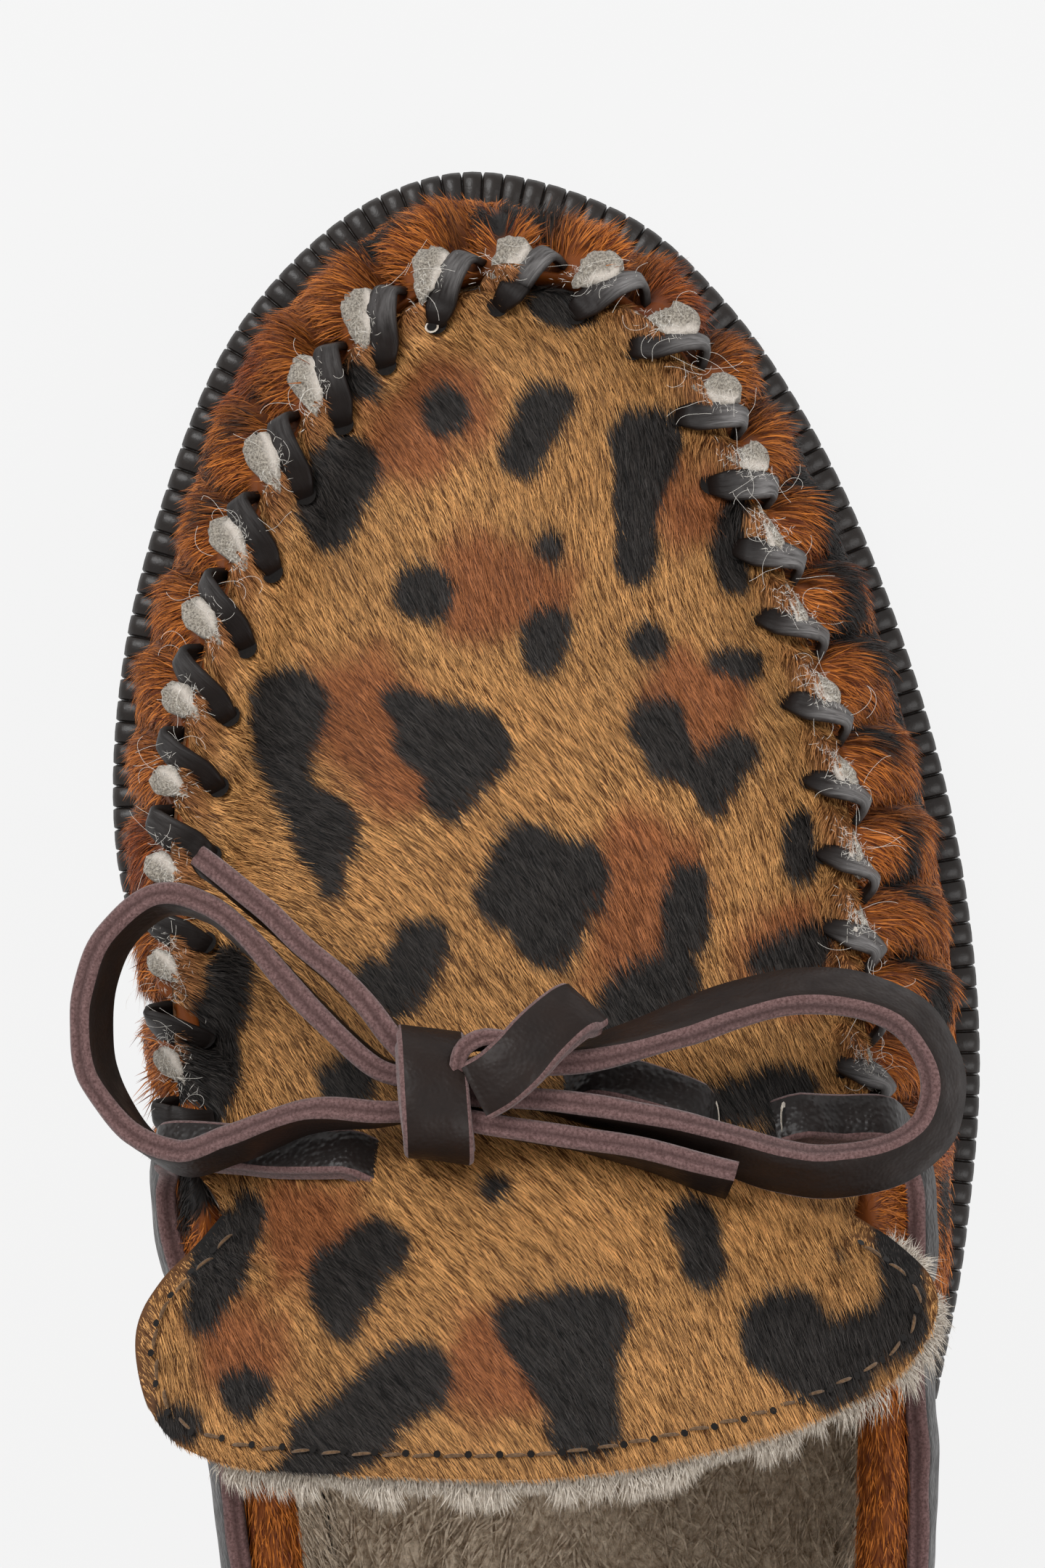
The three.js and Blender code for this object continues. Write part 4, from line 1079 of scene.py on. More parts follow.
@dataclass
class Chart:
    """Spots and patches: chains of round blobs joined up, with uneven edges."""

    chains: list
    edge: float = 0.6
    uneven: float = 0.7
    seed: int = 3

    def value(self, places: np.ndarray) -> np.ndarray:
        """Says how much of a spot there is.

        Args:
            places: places in the chart's own coordinates, one to a row.

        Returns:
            From 0 beside the spots to 1 inside them.
        """
        wobble = waves(places, 7.0, self.seed) * 0.6 + waves(places, 3.0, self.seed + 1) * 0.4
        best = np.full(len(places), -1e3)
        for chain in self.chains:
            chain = [np.asarray(c, float) for c in chain]
            links = list(zip(chain, chain[1:])) or [(chain[0], chain[0])]
            for a, b in links:
                line = b[:-1] - a[:-1]
                t = np.clip(((places - a[:-1]) @ line) / max(line @ line, 1e-9), 0, 1)
                gap = np.linalg.norm(places - a[:-1] - t[:, None] * line, axis=1)
                inside = a[-1] + (b[-1] - a[-1]) * t - gap
                best = np.maximum(best, inside)
        return smoothstep(best + wobble * self.uneven, -self.edge, self.edge)


def wrap_chains(chains: list) -> list:
    """Chains on the wrap with their centres as places in space."""
    return [[(*LAST.wrap(row, v), radius) for row, v, radius in chain] for chain in chains]


APRON_INK = Chart(APRON_SPOTS, 0.35, 0.5, 3)
APRON_ROSETTE = Chart(APRON_PATCHES, 2.4, 1.4, 7)
WRAP_INK = Chart(wrap_chains(WRAP_SPOTS), 0.8, 0.9, 11)
WRAP_ROSETTE = Chart(wrap_chains(WRAP_PATCHES), 3.0, 1.6, 17)


class Roots:
    """Even random places on a mesh of quads."""

    def __init__(
        self,
        points: np.ndarray,
        quads: np.ndarray,
        count: int,
        seed: int,
        weight: np.ndarray | None = None,
    ) -> None:
        """Picks the places.

        Args:
            points: corners of the mesh.
            quads: its faces.
            count: number of places.
            seed: picks one choice among many.
            weight: density at the corners.
        """
        rng = np.random.default_rng(seed)
        a, b, c, d = (points[quads[:, k]] for k in range(4))
        area = np.linalg.norm(np.cross(c - a, d - b), axis=1)
        if weight is not None:
            area = area * weight[quads].mean(1)
        self.corners = quads[rng.choice(len(quads), count, p=area / area.sum())]
        s, t = rng.uniform(size=count), rng.uniform(size=count)
        self.shares = np.stack([(1 - s) * (1 - t), s * (1 - t), s * t, (1 - s) * t], 1)

    def at(self, values: np.ndarray) -> np.ndarray:
        """Values at the places, from those at the corners of the mesh."""
        picked = values[self.corners]
        return (picked * (self.shares if picked.ndim == 2 else self.shares[..., None])).sum(1)

    def first(self, values: np.ndarray) -> np.ndarray:
        """Values at the first corner of each place's face."""
        return values[self.corners[:, 0]]


@dataclass
class Fur:
    """Hairs on a skin: thin blades in one mesh, bent in the middle or straight."""

    name: str
    slot: Slot
    length: tuple[float, float]
    width: float
    lift: float
    droop: float
    seed: int
    spread: float = 0.25
    roll: float = 0.6
    bent: bool = True

    def grow(
        self,
        points: np.ndarray,
        normals: np.ndarray,
        flow: np.ndarray,
        material: bpy.types.Material,
        attributes: dict[str, np.ndarray],
        light: Numbers = 0.5,
        scale: Numbers = 1.0,
    ) -> bpy.types.Object:
        """Grows one hair at each place.

        Args:
            points: roots in millimetres.
            normals: directions out of the skin there.
            flow: directions in which the hair lies there.
            material: its material.
            attributes: numbers of each hair, by name.
            light: middle of the hairs' tone.
            scale: share of its full length that each hair has.

        Returns:
            The mesh of all hairs.
        """
        rng = np.random.default_rng(self.seed)
        n = len(points)
        side = unit(np.cross(normals, flow))
        lean = unit(flow + side * rng.normal(0, self.spread, n)[:, None])
        lift = np.clip(rng.normal(self.lift, self.lift * 0.4, n), 0.02, 1.2)[:, None]
        first = unit(lean + normals * lift)
        stray = side * rng.normal(0, self.spread * 0.6, n)[:, None]
        second = unit(lean + normals * (lift - self.droop) + stray)
        size = (rng.uniform(*self.length, n) * scale)[:, None]
        wide = unit(np.cross(first, normals) + normals * rng.normal(0, self.roll, n)[:, None])
        wide = wide * (self.width * rng.uniform(0.7, 1.3, n))[:, None] / 2
        root = points - normals * 0.04
        middle = points + first * size * 0.5
        tip = middle + second * size * 0.5
        if self.bent:
            corners = np.stack([root, middle - wide, middle + wide, tip], 1)
            start = 4 * np.arange(n)[:, None]
            faces = np.concatenate([start + [[0, 2, 1]], start + [[1, 2, 3]]], 1).reshape(-1, 3)
        else:
            corners = np.stack([root - wide, root + wide, tip], 1)
            faces = np.arange(3 * n).reshape(-1, 3)
        told = {"tone": np.clip(rng.normal(light, 0.44, n), 0, 1), **attributes}
        told = {key: np.repeat(values, corners.shape[1]) for key, values in told.items()}
        return build_mesh(self.name, corners.reshape(-1, 3), faces, [material], self.slot, told)


def strap(
    centres: np.ndarray, across: np.ndarray, through: np.ndarray, width: float, thickness: float
) -> tuple[np.ndarray, np.ndarray, np.ndarray, np.ndarray]:
    """Flat leather lace of two plies.

    Args:
        centres: its centre line.
        across: unit directions across its width.
        through: unit directions through its thickness.
        width: its width.
        thickness: its thickness.

    Returns:
        Points, quads, painted shade in the edge's groove at each point and material number of each
        quad (1 on the cut edges).
    """
    half, thick, bevel, groove, corner = width / 2, thickness / 2, 0.45, 0.22, 0.08
    # Half of the outline: across, through and painted groove shade, with the face's points first
    face_points = 4
    side = [
        (-half + bevel, -thick, 0), (-half / 3, -thick, 0), (half / 3, -thick, 0),
        (half - bevel, -thick, 0), (half - corner, -thick + 0.3, 0.1), (half, -0.5 * thick, 0),
        (half - groove, 0, 0.7), (half, 0.5 * thick, 0), (half - corner, thick - 0.3, 0.1),
    ]
    profile = np.array(side + [(-a, -b, c) for a, b, c in side])
    n, m = len(centres), len(profile)
    points = centres[:, None] + across[:, None] * profile[None, :, :1]
    points = points + through[:, None] * profile[None, :, 1:2]
    points = points + through[:, None] * (waves(points, 9.0, 31) * 0.12)[..., None]
    quads = grid_faces(n, m, round_columns=True)[:, ::-1]
    edge = np.tile(np.arange(m), n - 1) % len(side) >= face_points - 1
    caps = []
    for base, way in ((0, 1), ((n - 1) * m, -1)):
        for k in range(m // 2 - 1):
            quad = [base + k, base + k + 1, base + m - k - 2, base + m - k - 1]
            caps.append(quad[::way])
    kinds = np.concatenate([edge.astype(int), np.ones(len(caps), int)])
    quads = np.vstack([quads, np.array(caps)])
    return points.reshape(-1, 3), quads, np.tile(profile[:, 2], n), kinds


def upright_frames(points: np.ndarray, lean: np.ndarray) -> tuple[np.ndarray, np.ndarray]:
    """Directions of a strap that stands on edge, or lies flat at a lean of 90 degrees.

    Args:
        points: its centre line.
        lean: degrees of lean at each point.

    Returns:
        Directions across the strap and through it.
    """
    along = unit(np.gradient(points, axis=0))
    level = unit(np.cross(along, UP))
    upright = np.cross(level, along)
    turn = np.radians(lean)[:, None]
    across = unit(upright * np.cos(turn) + level * np.sin(turn))
    return across, np.cross(along, across)


# Sub-assemblies


@dataclass
class Bow:
    """Flat leather bow: two loops, two tails, and the knot with its strand."""

    grain: bpy.types.Material
    suede: bpy.types.Material
    seat: np.ndarray = field(init=False)

    def __post_init__(self) -> None:
        """Sets the seat on the apron."""
        x, y = (BOW_SEAT[0] - 0.5) * LENGTH, BOW_SEAT[1] * BALL_WIDTH
        self.seat = np.array([x, y, float(LAST.apron_z(x, y))])

    def route(self, rows: list[tuple]) -> tuple[np.ndarray, np.ndarray]:
        """Centre line through charted places, and its lean."""
        table = np.array(rows, float)
        points, place = open_curve(table[:, :3] + self.seat, 0.7)
        return points, np.interp(place, np.arange(len(table)), table[:, 3])

    def strand(
        self, name: str, rows: list[tuple], node: str
    ) -> tuple[bpy.types.Object, np.ndarray]:
        """Makes one strap through charted places.

        Args:
            name: its name.
            rows: its places and leans, from the seat.
            node: CAD node that it stands for.

        Returns:
            The strap and its centre line.
        """
        points, lean = self.route(rows)
        frames = upright_frames(points, lean)
        corners, quads, groove_shade_and_fluff, kinds = strap(points, *frames, LACE_WIDTH, LACE_THICKNESS)
        leathers = [self.grain, self.suede]
        made = build_mesh(name, corners, quads, leathers, Slot.LACE, {"groove_shade_and_fluff": groove_shade_and_fluff}, kinds)
        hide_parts(node)
        return made, points

    def knot(self) -> bpy.types.Object:
        """Makes the turn of lace round the bundle, with the small twist at its top.

        Returns:
            The knot.
        """
        turn = np.linspace(0, 2 * math.pi, 61)
        slope = 0.66
        ahead, high = np.cos(turn) * 6.3, np.sin(turn) * 5.0
        x = ahead * math.cos(slope) + high * math.sin(slope)
        z = -ahead * math.sin(slope) + high * math.cos(slope)
        centres = np.stack([x, 0.1 * x, z], 1) + self.seat + KNOT_HEIGHT * UP
        along = unit(np.gradient(centres, axis=0))
        across = lie(np.tile(unit(np.array([0.12, 1.0, 0.16])), (len(turn), 1)), along)
        band = strap(centres, across, np.cross(along, across), KNOT_WIDTH, LACE_THICKNESS)
        points, lean = self.route(KNOT_TWIST)
        twist = strap(points, *upright_frames(points, lean), TWIST_WIDTH, TWIST_THICKNESS)
        corners, quads = joined([band[:2], twist[:2]])
        made = build_mesh(
            "bow_knot", corners, quads, [self.grain, self.suede], Slot.LACE,
            {"groove_shade_and_fluff": np.concatenate([band[2] * 0.6, twist[2]])},
            np.concatenate([band[3], twist[3]]),
        )
        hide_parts("bow_knot")
        return made

    def build(self) -> None:
        knot = self.knot()
        strand, _ = self.strand("knot_strand", KNOT_STRAND, "bow_knot_strand")
        inner_tail, _ = self.strand("inner_tail", TAIL_INNER, "bow_tail_inner")
        outer_tail, _ = self.strand("outer_tail", TAIL_OUTER, "bow_tail_outer")
        for name, rows, node, pieces in (
            ("inner_loop", LOOP_INNER, "bow_loop_inner", [knot, strand, inner_tail]),
            ("outer_loop", LOOP_OUTER, "bow_loop_outer", [outer_tail]),
        ):
            made, points = self.strand(name, rows, node)


@dataclass
class LaceRuns:
    """Flat lace over the front and along the collar, lying on the hide between its slots."""

    grain: bpy.types.Material
    suede: bpy.types.Material

    def lay(
        self, name: str, points: np.ndarray, normals: np.ndarray, width: float
    ) -> bpy.types.Object:
        """Makes a strap flat on the hide whose ends dip into their slots.

        Args:
            name: its name.
            points: places of its centre line.
            normals: directions out of the hide there.
            width: its width.

        Returns:
            The strap.
        """
        fine, place = open_curve(points, 0.8)
        normal = unit(resample(place, np.arange(len(points)), normals))
        run = gone(fine)
        dip = 1 - smoothstep(np.minimum(run, run[-1] - run), 0, 3.4)
        fine = fine - normal * ((LACE_THICKNESS + 0.5) * dip)[:, None]
        along = unit(np.gradient(fine, axis=0))
        through = lie(normal, along)
        corners, quads, groove_shade_and_fluff, kinds = strap(
            fine, np.cross(along, through), through, width, LACE_THICKNESS
        )
        leathers = [self.grain, self.suede]
        return build_mesh(name, corners, quads, leathers, Slot.LACE, {"groove_shade_and_fluff": groove_shade_and_fluff}, kinds)

    def front(self, name: str, apron: list[tuple], wrap: list[tuple]) -> None:
        """Makes a lace over the front.

        Args:
            name: CAD node that it stands for.
            apron: places on the apron, as shares of length and ball width.
            wrap: places on the wrap, as rows and shares of its height.
        """
        up = CLEARANCE + LACE_THICKNESS / 2
        points, normals = [], []
        for at, side in apron:
            point, normal = LAST.apron((at - 0.5) * LENGTH, side * BALL_WIDTH)
            points.append(point + normal * up)
            normals.append(normal)
        for row, v in wrap:
            on_seam = v == 1
            normal = LAST.wrap_frame(row, v)[2]
            if on_seam:
                normal = unit(normal + normals[-1])
            points.append(LAST.wrap(row, v) + normal * (up + 0.6 * on_seam))
            normals.append(normal)
        piece = name.replace("lace", "strap")
        made = self.lay(piece, np.array(points), np.array(normals), FRONT_WIDTH)
        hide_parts(name)

    def collar(self, index: int, start: float, end: float) -> None:
        """Makes a lace along the collar, from one row to another."""
        rows = np.linspace(start, end, 24)
        v = 1 - COLLAR_LACE_DROP / LAST.wall_height(rows)
        normals = LAST.wrap_frame(rows, v)[2]
        points = LAST.wrap(rows, v) + normals * (CLEARANCE + LACE_THICKNESS / 2)
        made = self.lay(f"collar_strap_{index}", points, normals, LACE_WIDTH)
        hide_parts(f"collar_lace_{index}")

    def build(self) -> None:
        """Makes all runs of the lace."""
        for name, (apron, wrap) in FRONT_LACES.items():
            self.front(name, apron, wrap)
        for i, (start, end) in enumerate(COLLAR_RUNS):
            self.collar(i + 1, start, end)


def slant(along: Numbers) -> np.ndarray:
    """Slant of the whip stitches at a place along the seam."""
    return np.interp(along, SLANT_AT, SLANTS)


def hole_across(along: Numbers) -> np.ndarray:
    """How far inside the seam a stitch's hole lies."""
    return np.interp(along, HOLE_AT, HOLE_IN)


def stitch_holes(up: float) -> np.ndarray:
    """Holes of the whip stitches in the apron, at a height above it."""
    across = hole_across(STITCHES)
    return LAST.seam(STITCHES - across * slant(STITCHES), across, up)


def stitch_gap(along: np.ndarray) -> np.ndarray:
    """Distance along the seam to the nearest stitch."""
    return np.abs(np.asarray(along)[..., None] - STITCHES).min(-1)


@dataclass
class Wrap:
    """Puckered wrap with its rolled collar, long hair and fleece lining."""

    hair: bpy.types.Material
    fleece: bpy.types.Material
    steps: int = 22
    hairs_a_side: int = 77000
    points: np.ndarray = field(init=False)
    quads: np.ndarray = field(init=False)
    rows: np.ndarray = field(init=False)
    heights: np.ndarray = field(init=False)
    shade: np.ndarray = field(init=False)
    on_roll: np.ndarray = field(init=False)

    def pucker(self, row: np.ndarray, v: np.ndarray) -> tuple[np.ndarray, np.ndarray]:
        """Gathers of the hide under the stitches.

        Args:
            row: rows round the shoe.
            v: shares of the wall's height.

        Returns:
            How far the hide stands out, and its share of shade in the troughs at the stitches.
        """
        to_toe = ROWS - INNER_THROAT
        turn = np.mod(row - INNER_THROAT, ROWS)
        on_seam = smoothstep(turn, 0.2, 0.8) * (1 - smoothstep(turn, 14.3, 14.9))
        along = LAST.seam_place(turn + INNER_THROAT) + (1 - v) * 3.5 * np.sign(turn - to_toe)
        nearest = np.abs(along[..., None] - STITCHES).argmin(-1)
        strength = np.random.default_rng(5).uniform(0.75, 1.3, len(STITCHES))[nearest]
        depth = np.where(turn > to_toe + 0.6, 2.3, 2.0) * strength
        fade = smoothstep(v, 0.22, 0.8)
        trough = np.exp(-((stitch_gap(along) / 1.7) ** 2))
        return on_seam * depth * fade * (0.7 - 1.45 * trough), on_seam * fade * trough

    def build(self) -> None:
        """Makes the hide from below the rim over the rolled collar and down inside, and its fur."""
        n = ROWS * self.steps
        rows = np.arange(n) / self.steps
        vs = np.concatenate([[-0.5, -0.2], np.linspace(0, 1, 40)])
        row, v = np.meshgrid(rows, vs, indexing="ij")
        points = LAST.wrap(row, v)
        over_rim = 0.2 * np.exp(-(((v - 0.1) / 0.09) ** 2))
        lumps = waves(points, 22.0, 41) * 0.35 * smoothstep(v, 0, 0.3) * (1 - smoothstep(v, 0.8, 1))
        out_by, shade = self.pucker(row, v)
        tuck = 0.8 * np.exp(-(((v - 0.25) / 0.2) ** 2))
        rise = out_by + over_rim + lumps - tuck
        points = points + LAST.wrap_frame(row, v)[2] * rise[..., None]
        crest = LAST.thickness(rows, np.ones(n))
        out = LAST.wrap_frame(rows, 1.0)[2]
        middle = LAST.wrap(rows, 1.0) - out * (crest / 2)[:, None]
        roll = []
        for turn in np.radians([25, 50, 75, 90, 105, 130, 155]):
            aside, high = math.cos(turn) * crest / 2, math.sin(turn) * crest * 0.42
            roll.append(middle + (out * aside[:, None] + UP * high[:, None]))
        down = np.linspace(1.0, 0.86, 6)
        row, v = np.meshgrid(rows, down, indexing="ij")
        inside = LAST.wrap(row, v) - LAST.wrap_frame(row, v)[2] * LAST.thickness(row, v)[..., None]
        skin = np.concatenate([points, np.stack(roll, 1), inside], 1)
        columns = skin.shape[1]
        self.points = skin.reshape(-1, 3)
        self.quads = grid_faces(n, columns, round_rows=True)
        self.heights = np.tile(np.concatenate([vs, np.ones(len(roll)), down - 0.02]), n)
        self.rows = np.repeat(rows, columns)
        self.shade = np.concatenate([shade, np.zeros((n, columns - len(vs)))], 1).ravel()
        self.on_roll = np.tile(np.arange(columns) >= len(vs), n)
        made = build_mesh(
            "wrap_hide", self.points, self.quads, [self.hair], Slot.WRAP,
            {
                "ink": WRAP_INK.value(self.points),
                "patch": WRAP_ROSETTE.value(self.points),
                # Painted shade: the bare skin takes the dark end of the hair's tone, for the shade
                # between the hairs
                "tone": np.full(len(self.points), 0.2),
                "shade": self.shade,
            },
        )
        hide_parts("upper")
        self.grow_fur()
        self.line(rows)

    def flow(
        self, places: np.ndarray, rows: np.ndarray, v: np.ndarray, normals: np.ndarray
    ) -> np.ndarray:
        """Lie of the hair: down the wall and towards the heel, in soft swirls.

        Args:
            places: roots of the hairs.
            rows: their rows round the shoe.
            v: their shares of the wall's height.
            normals: directions out of the hide.

        Returns:
            One direction to a hair.
        """
        along, climb, _ = LAST.wrap_frame(rows, np.clip(v, 0.02, 1))
        turn = np.mod(rows, ROWS)
        to_heel = np.where(turn < HEEL_ROW, 1.0, -1.0)[:, None] * along
        swirl = waves(places, 26.0, 51)[:, None]
        on_collar = (turn > OUTER_THROAT + 0.4) & (turn < INNER_THROAT - 0.4)
        falling = 0.15 + 0.85 * smoothstep(v, 0.08, 0.35)[:, None]
        falling = falling * np.where(on_collar, 1 - 0.9 * smoothstep(v, 0.86, 0.95), 1.0)[:, None]
        flow = -climb * (0.85 + 0.2 * swirl) * falling + to_heel * (0.55 + 0.45 * swirl)
        return lie(flow, normals)

    def coat(self) -> tuple[np.ndarray, np.ndarray]:
        """Density and length of the hair.

        Returns:
            Hair density at the corners, and share of full length there.
        """
        turn = np.mod(self.rows, ROWS)
        drop = (1 - self.heights) * LAST.wall_height(self.rows)
        collar = (turn > OUTER_THROAT + 0.45) & (turn < INNER_THROAT - 0.45)
        ahead = (turn < OUTER_THROAT + 0.4) | (turn > INNER_THROAT - 0.4)
        under_lace = collar & (np.abs(drop - COLLAR_LACE_DROP) < 3.2)
        density = np.where(self.heights < -0.05, 0.0, 1.0) * np.where(under_lace, 0.04, 1.0)
        density = density * np.where(ahead, 1.6, 0.6)
        density = density * np.where(collar & self.on_roll, 2.2, 1.0)
        density = np.where(ahead & self.on_roll, 1.2, density)
        # Almost none where the raw edges bulge over the top line
        lips_at = LAST.seam_place(turn + np.where(turn < INNER_THROAT, ROWS, 0))
        plump = np.interp(lips_at, (STITCHES[1:] + STITCHES[:-1]) / 2, LIP_FULLNESS)
        under_lips = ahead & (self.heights > 0.93) & (plump > 0.5)
        density = np.where(under_lips, 0.08 * density, density)
        short = np.where(self.on_roll, np.where(ahead, 0.42, 0.5), 1.0)
        return density, short * (0.32 + 0.68 * smoothstep(self.heights, 0.1, 0.5))

    def grow_fur(self) -> None:
        """Grows the long hair, the inner and the outer side each as one piece."""
        normals = vertex_normals(self.points, self.quads)
        if (normals * LAST.wrap_frame(self.rows, 0.5)[2]).sum(1).mean() < 0:
            normals = -normals
        density, short = self.coat()
        outer = np.mod(self.rows, ROWS) < HEEL_ROW
        sides = (("wrap_hair_inner_side", 61, ~outer), ("wrap_hair_outer_side", 62, outer))
        for name, seed, side in sides:
            fur = Fur(name, Slot.WRAP, (3.0, 5.4), 0.135, 0.17, 0.2, seed, spread=0.2, roll=0.45)
            weight = np.where(side, density, 0.0)
            roots = Roots(self.points, self.quads, self.hairs_a_side, seed, weight)
            places, normal = roots.at(self.points), unit(roots.at(normals))
            flow = self.flow(places, roots.first(self.rows), roots.at(self.heights), normal)
            frayed = places + np.random.default_rng(seed).normal(0, 0.25, places.shape)
            told = {
                "ink": WRAP_INK.value(frayed),
                "patch": WRAP_ROSETTE.value(frayed),
                "shade": roots.at(self.shade),
            }
            light = 0.5 + 0.25 * waves(places, 0.9, 56)
            fur.grow(places, normal, flow, self.hair, told, light, roots.at(short))

    def line(self, rows: np.ndarray) -> None:
        """Lines the wrap with fleece, from the roll down to the footbed."""
        rows = rows[::3]
        down = np.linspace(0.9, -0.4, 22)
        row, v = np.meshgrid(rows, down, indexing="ij")
        depth = LAST.thickness(row, np.maximum(v, 0)) + 0.25
        normals = LAST.wrap_frame(row, np.maximum(v, 0.02))[2]
        points = (LAST.wrap(row, v) - normals * depth[..., None]).reshape(-1, 3)
        quads = grid_faces(len(rows), len(down), round_rows=True)[:, ::-1]
        build_mesh("fleece_lining", points, quads, [self.fleece], Slot.LINING)
        flat_row, flat_v = row.ravel(), v.ravel()
        turn = np.mod(flat_row, ROWS)
        density = np.where((turn > 5.5) & (turn < 20.5) & (flat_v > 0), 1.0, 0.0)
        fur = Fur("lining_fleece", Slot.LINING, (4.5, 8.0), 0.24, 0.3, 0.25, 71, spread=0.3)
        roots = Roots(points, quads, 30000, fur.seed, density)
        normal = unit(roots.at(-normals.reshape(-1, 3)))
        height = roots.first(flat_v)
        climb = LAST.wrap_frame(roots.first(flat_row), np.clip(height, 0.02, 1))[1]
        flow = lie(-0.5 * climb - [1.0, 0.0, 0.0], normal)
        # Painted light and shade: the lining's hair is lighter near the collar and darker deeper
        # down the inner wall
        light = 0.45 + 0.4 * smoothstep(height, 0.55, 0.85)
        fur.grow(roots.at(points), normal, flow, self.fleece, {}, light)


@dataclass
class Apron:
    """Short-haired apron and tongue with cut edge, lining, edge stitches, and dark discs of painted
    shade for its punched holes.
    """

    hair: bpy.types.Material
    edge: bpy.types.Material
    fleece: bpy.types.Material
    thread: bpy.types.Material
    hole: bpy.types.Material
    rim: bpy.types.Material
    across: int = 96
    reach: float = 3.1
    points: np.ndarray = field(init=False)
    quads: np.ndarray = field(init=False)
    normals: np.ndarray = field(init=False)
    rust: np.ndarray = field(init=False)
    near_seam: np.ndarray = field(init=False)
    valley: np.ndarray = field(init=False)

    def dimples(self, points: np.ndarray) -> np.ndarray:
        """Sinks at the stitches' holes and rises between them."""
        middles = (STITCHES[1:] + STITCHES[:-1]) / 2 - 2.5
        gaps = [
            np.linalg.norm(points[:, None, :2] - spots[None, :, :2], axis=-1).min(1)
            for spots in (stitch_holes(0.0), LAST.seam(middles, 2.8, 0.0))
        ]
        return 0.7 * np.exp(-((gaps[1] / 2.6) ** 2)) - 0.9 * np.exp(-((gaps[0] / 2.0) ** 2))

    def ridge(self, points: np.ndarray) -> np.ndarray:
        """Notes how near the seam the points lie, and how much redder their hair is.

        Args:
            points: places on the apron.

        Returns:
            Rise of the hide towards the ridge between the stitches.
        """
        line_at = np.linspace(0, LAST.seam_length, 460)
        line = LAST.seam(line_at, 0.0, 0.0)[:, :2]
        gap = np.full(len(points), 99.0)
        place = np.zeros(len(points))
        for k in range(0, len(line), 20):
            distance = np.linalg.norm(points[:, None, :2] - line[None, k : k + 20], axis=-1)
            best = distance.argmin(1)
            nearest = distance[np.arange(len(points)), best]
            place = np.where(nearest < gap, line_at[k + best], place)
            gap = np.where(nearest < gap, nearest, gap)
        free = smoothstep(stitch_gap(place + gap * slant(place)), 0.9, 2.6)
        self.near_seam = 1 - smoothstep(gap, 0.4, 4.6)
        self.valley = 1 - smoothstep(gap, 5.0, 10.0)
        self.rust = 0.75 * self.near_seam * free
        return self.near_seam * (0.25 + 1.7 * free)

    def build(self) -> None:
        """Makes the hide with its cut edge and lining, its hair and its trimmings."""
        front_end = LAST.tip[0] - CLEARANCE
        tail = np.linspace(TONGUE[0, 0], THROAT, 48)[:-1] - 0.5
        xs = np.concatenate([
            tail * LENGTH,
            THROAT_X + (front_end - THROAT_X) * np.sin(np.linspace(0, math.pi / 2, 130)),
            front_end + self.reach * np.sin(np.linspace(0.1, math.pi / 2, 12)),
        ])
        inner, outer, *_ = LAST.edges(xs)
        ahead = smoothstep(LAST.share(xs), THROAT, THROAT + THROAT_EASE)
        over = np.clip((xs - front_end) / self.reach, 0, 1)
        wide = self.reach * ahead * np.sqrt(np.maximum(1 - over**2, 0.0004))
        share = 0.5 - 0.5 * np.cos(np.linspace(0, math.pi, self.across))
        y = (outer - wide)[:, None] + (inner - outer + 2 * wide)[:, None] * share
        points, normals = LAST.apron(np.repeat(xs[:, None], self.across, 1), y)
        flat = points.reshape(-1, 3)
        lift = self.dimples(flat) + self.ridge(flat) + waves(flat, 30.0, 81) * 0.25
        self.points = flat + normals.reshape(-1, 3) * lift[:, None]
        self.quads = grid_faces(len(xs), self.across)
        self.normals = vertex_normals(self.points, self.quads)
        self.normals *= np.sign(self.normals[:, 2].mean())
        below = (points - normals * WALL).reshape(-1, 3)
        under = (points - normals * 1.3).reshape(-1, 3)
        m, n, total = self.across, len(xs), len(flat)
        rim = np.concatenate([
            np.arange(m), m - 1 + m * np.arange(1, n),
            (n - 1) * m + np.arange(m - 2, -1, -1), m * np.arange(n - 2, 0, -1),
        ])
        ring = np.stack([rim, np.roll(rim, -1)], 1)
        corners = np.vstack([self.points, under, below])
        wall = np.concatenate([ring, ring[:, ::-1] + total], 1)
        quads = np.vstack([self.quads, wall, wall + total, self.quads[:, ::-1] + 2 * total])
        faces = len(self.quads)
        kinds = np.repeat([0, 1, 2], [faces, len(ring), len(ring) + faces])
        told = {
            "ink": APRON_INK.value(corners[:, :2]),
            "patch": APRON_ROSETTE.value(corners[:, :2]),
            # Painted shade: the bare skin takes the dark end of the hair's tone, for the shade
            # between the hairs
            "tone": np.full(len(corners), 0.05),
        }
        materials = [self.hair, self.edge, self.fleece]
        made = build_mesh("apron_hide", corners, quads, materials, Slot.APRON, told, kinds)
        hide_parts("apron_tongue")
        self.grow_fur()
        self.stitch_edge()
        self.punch()
        self.rim_fleece()

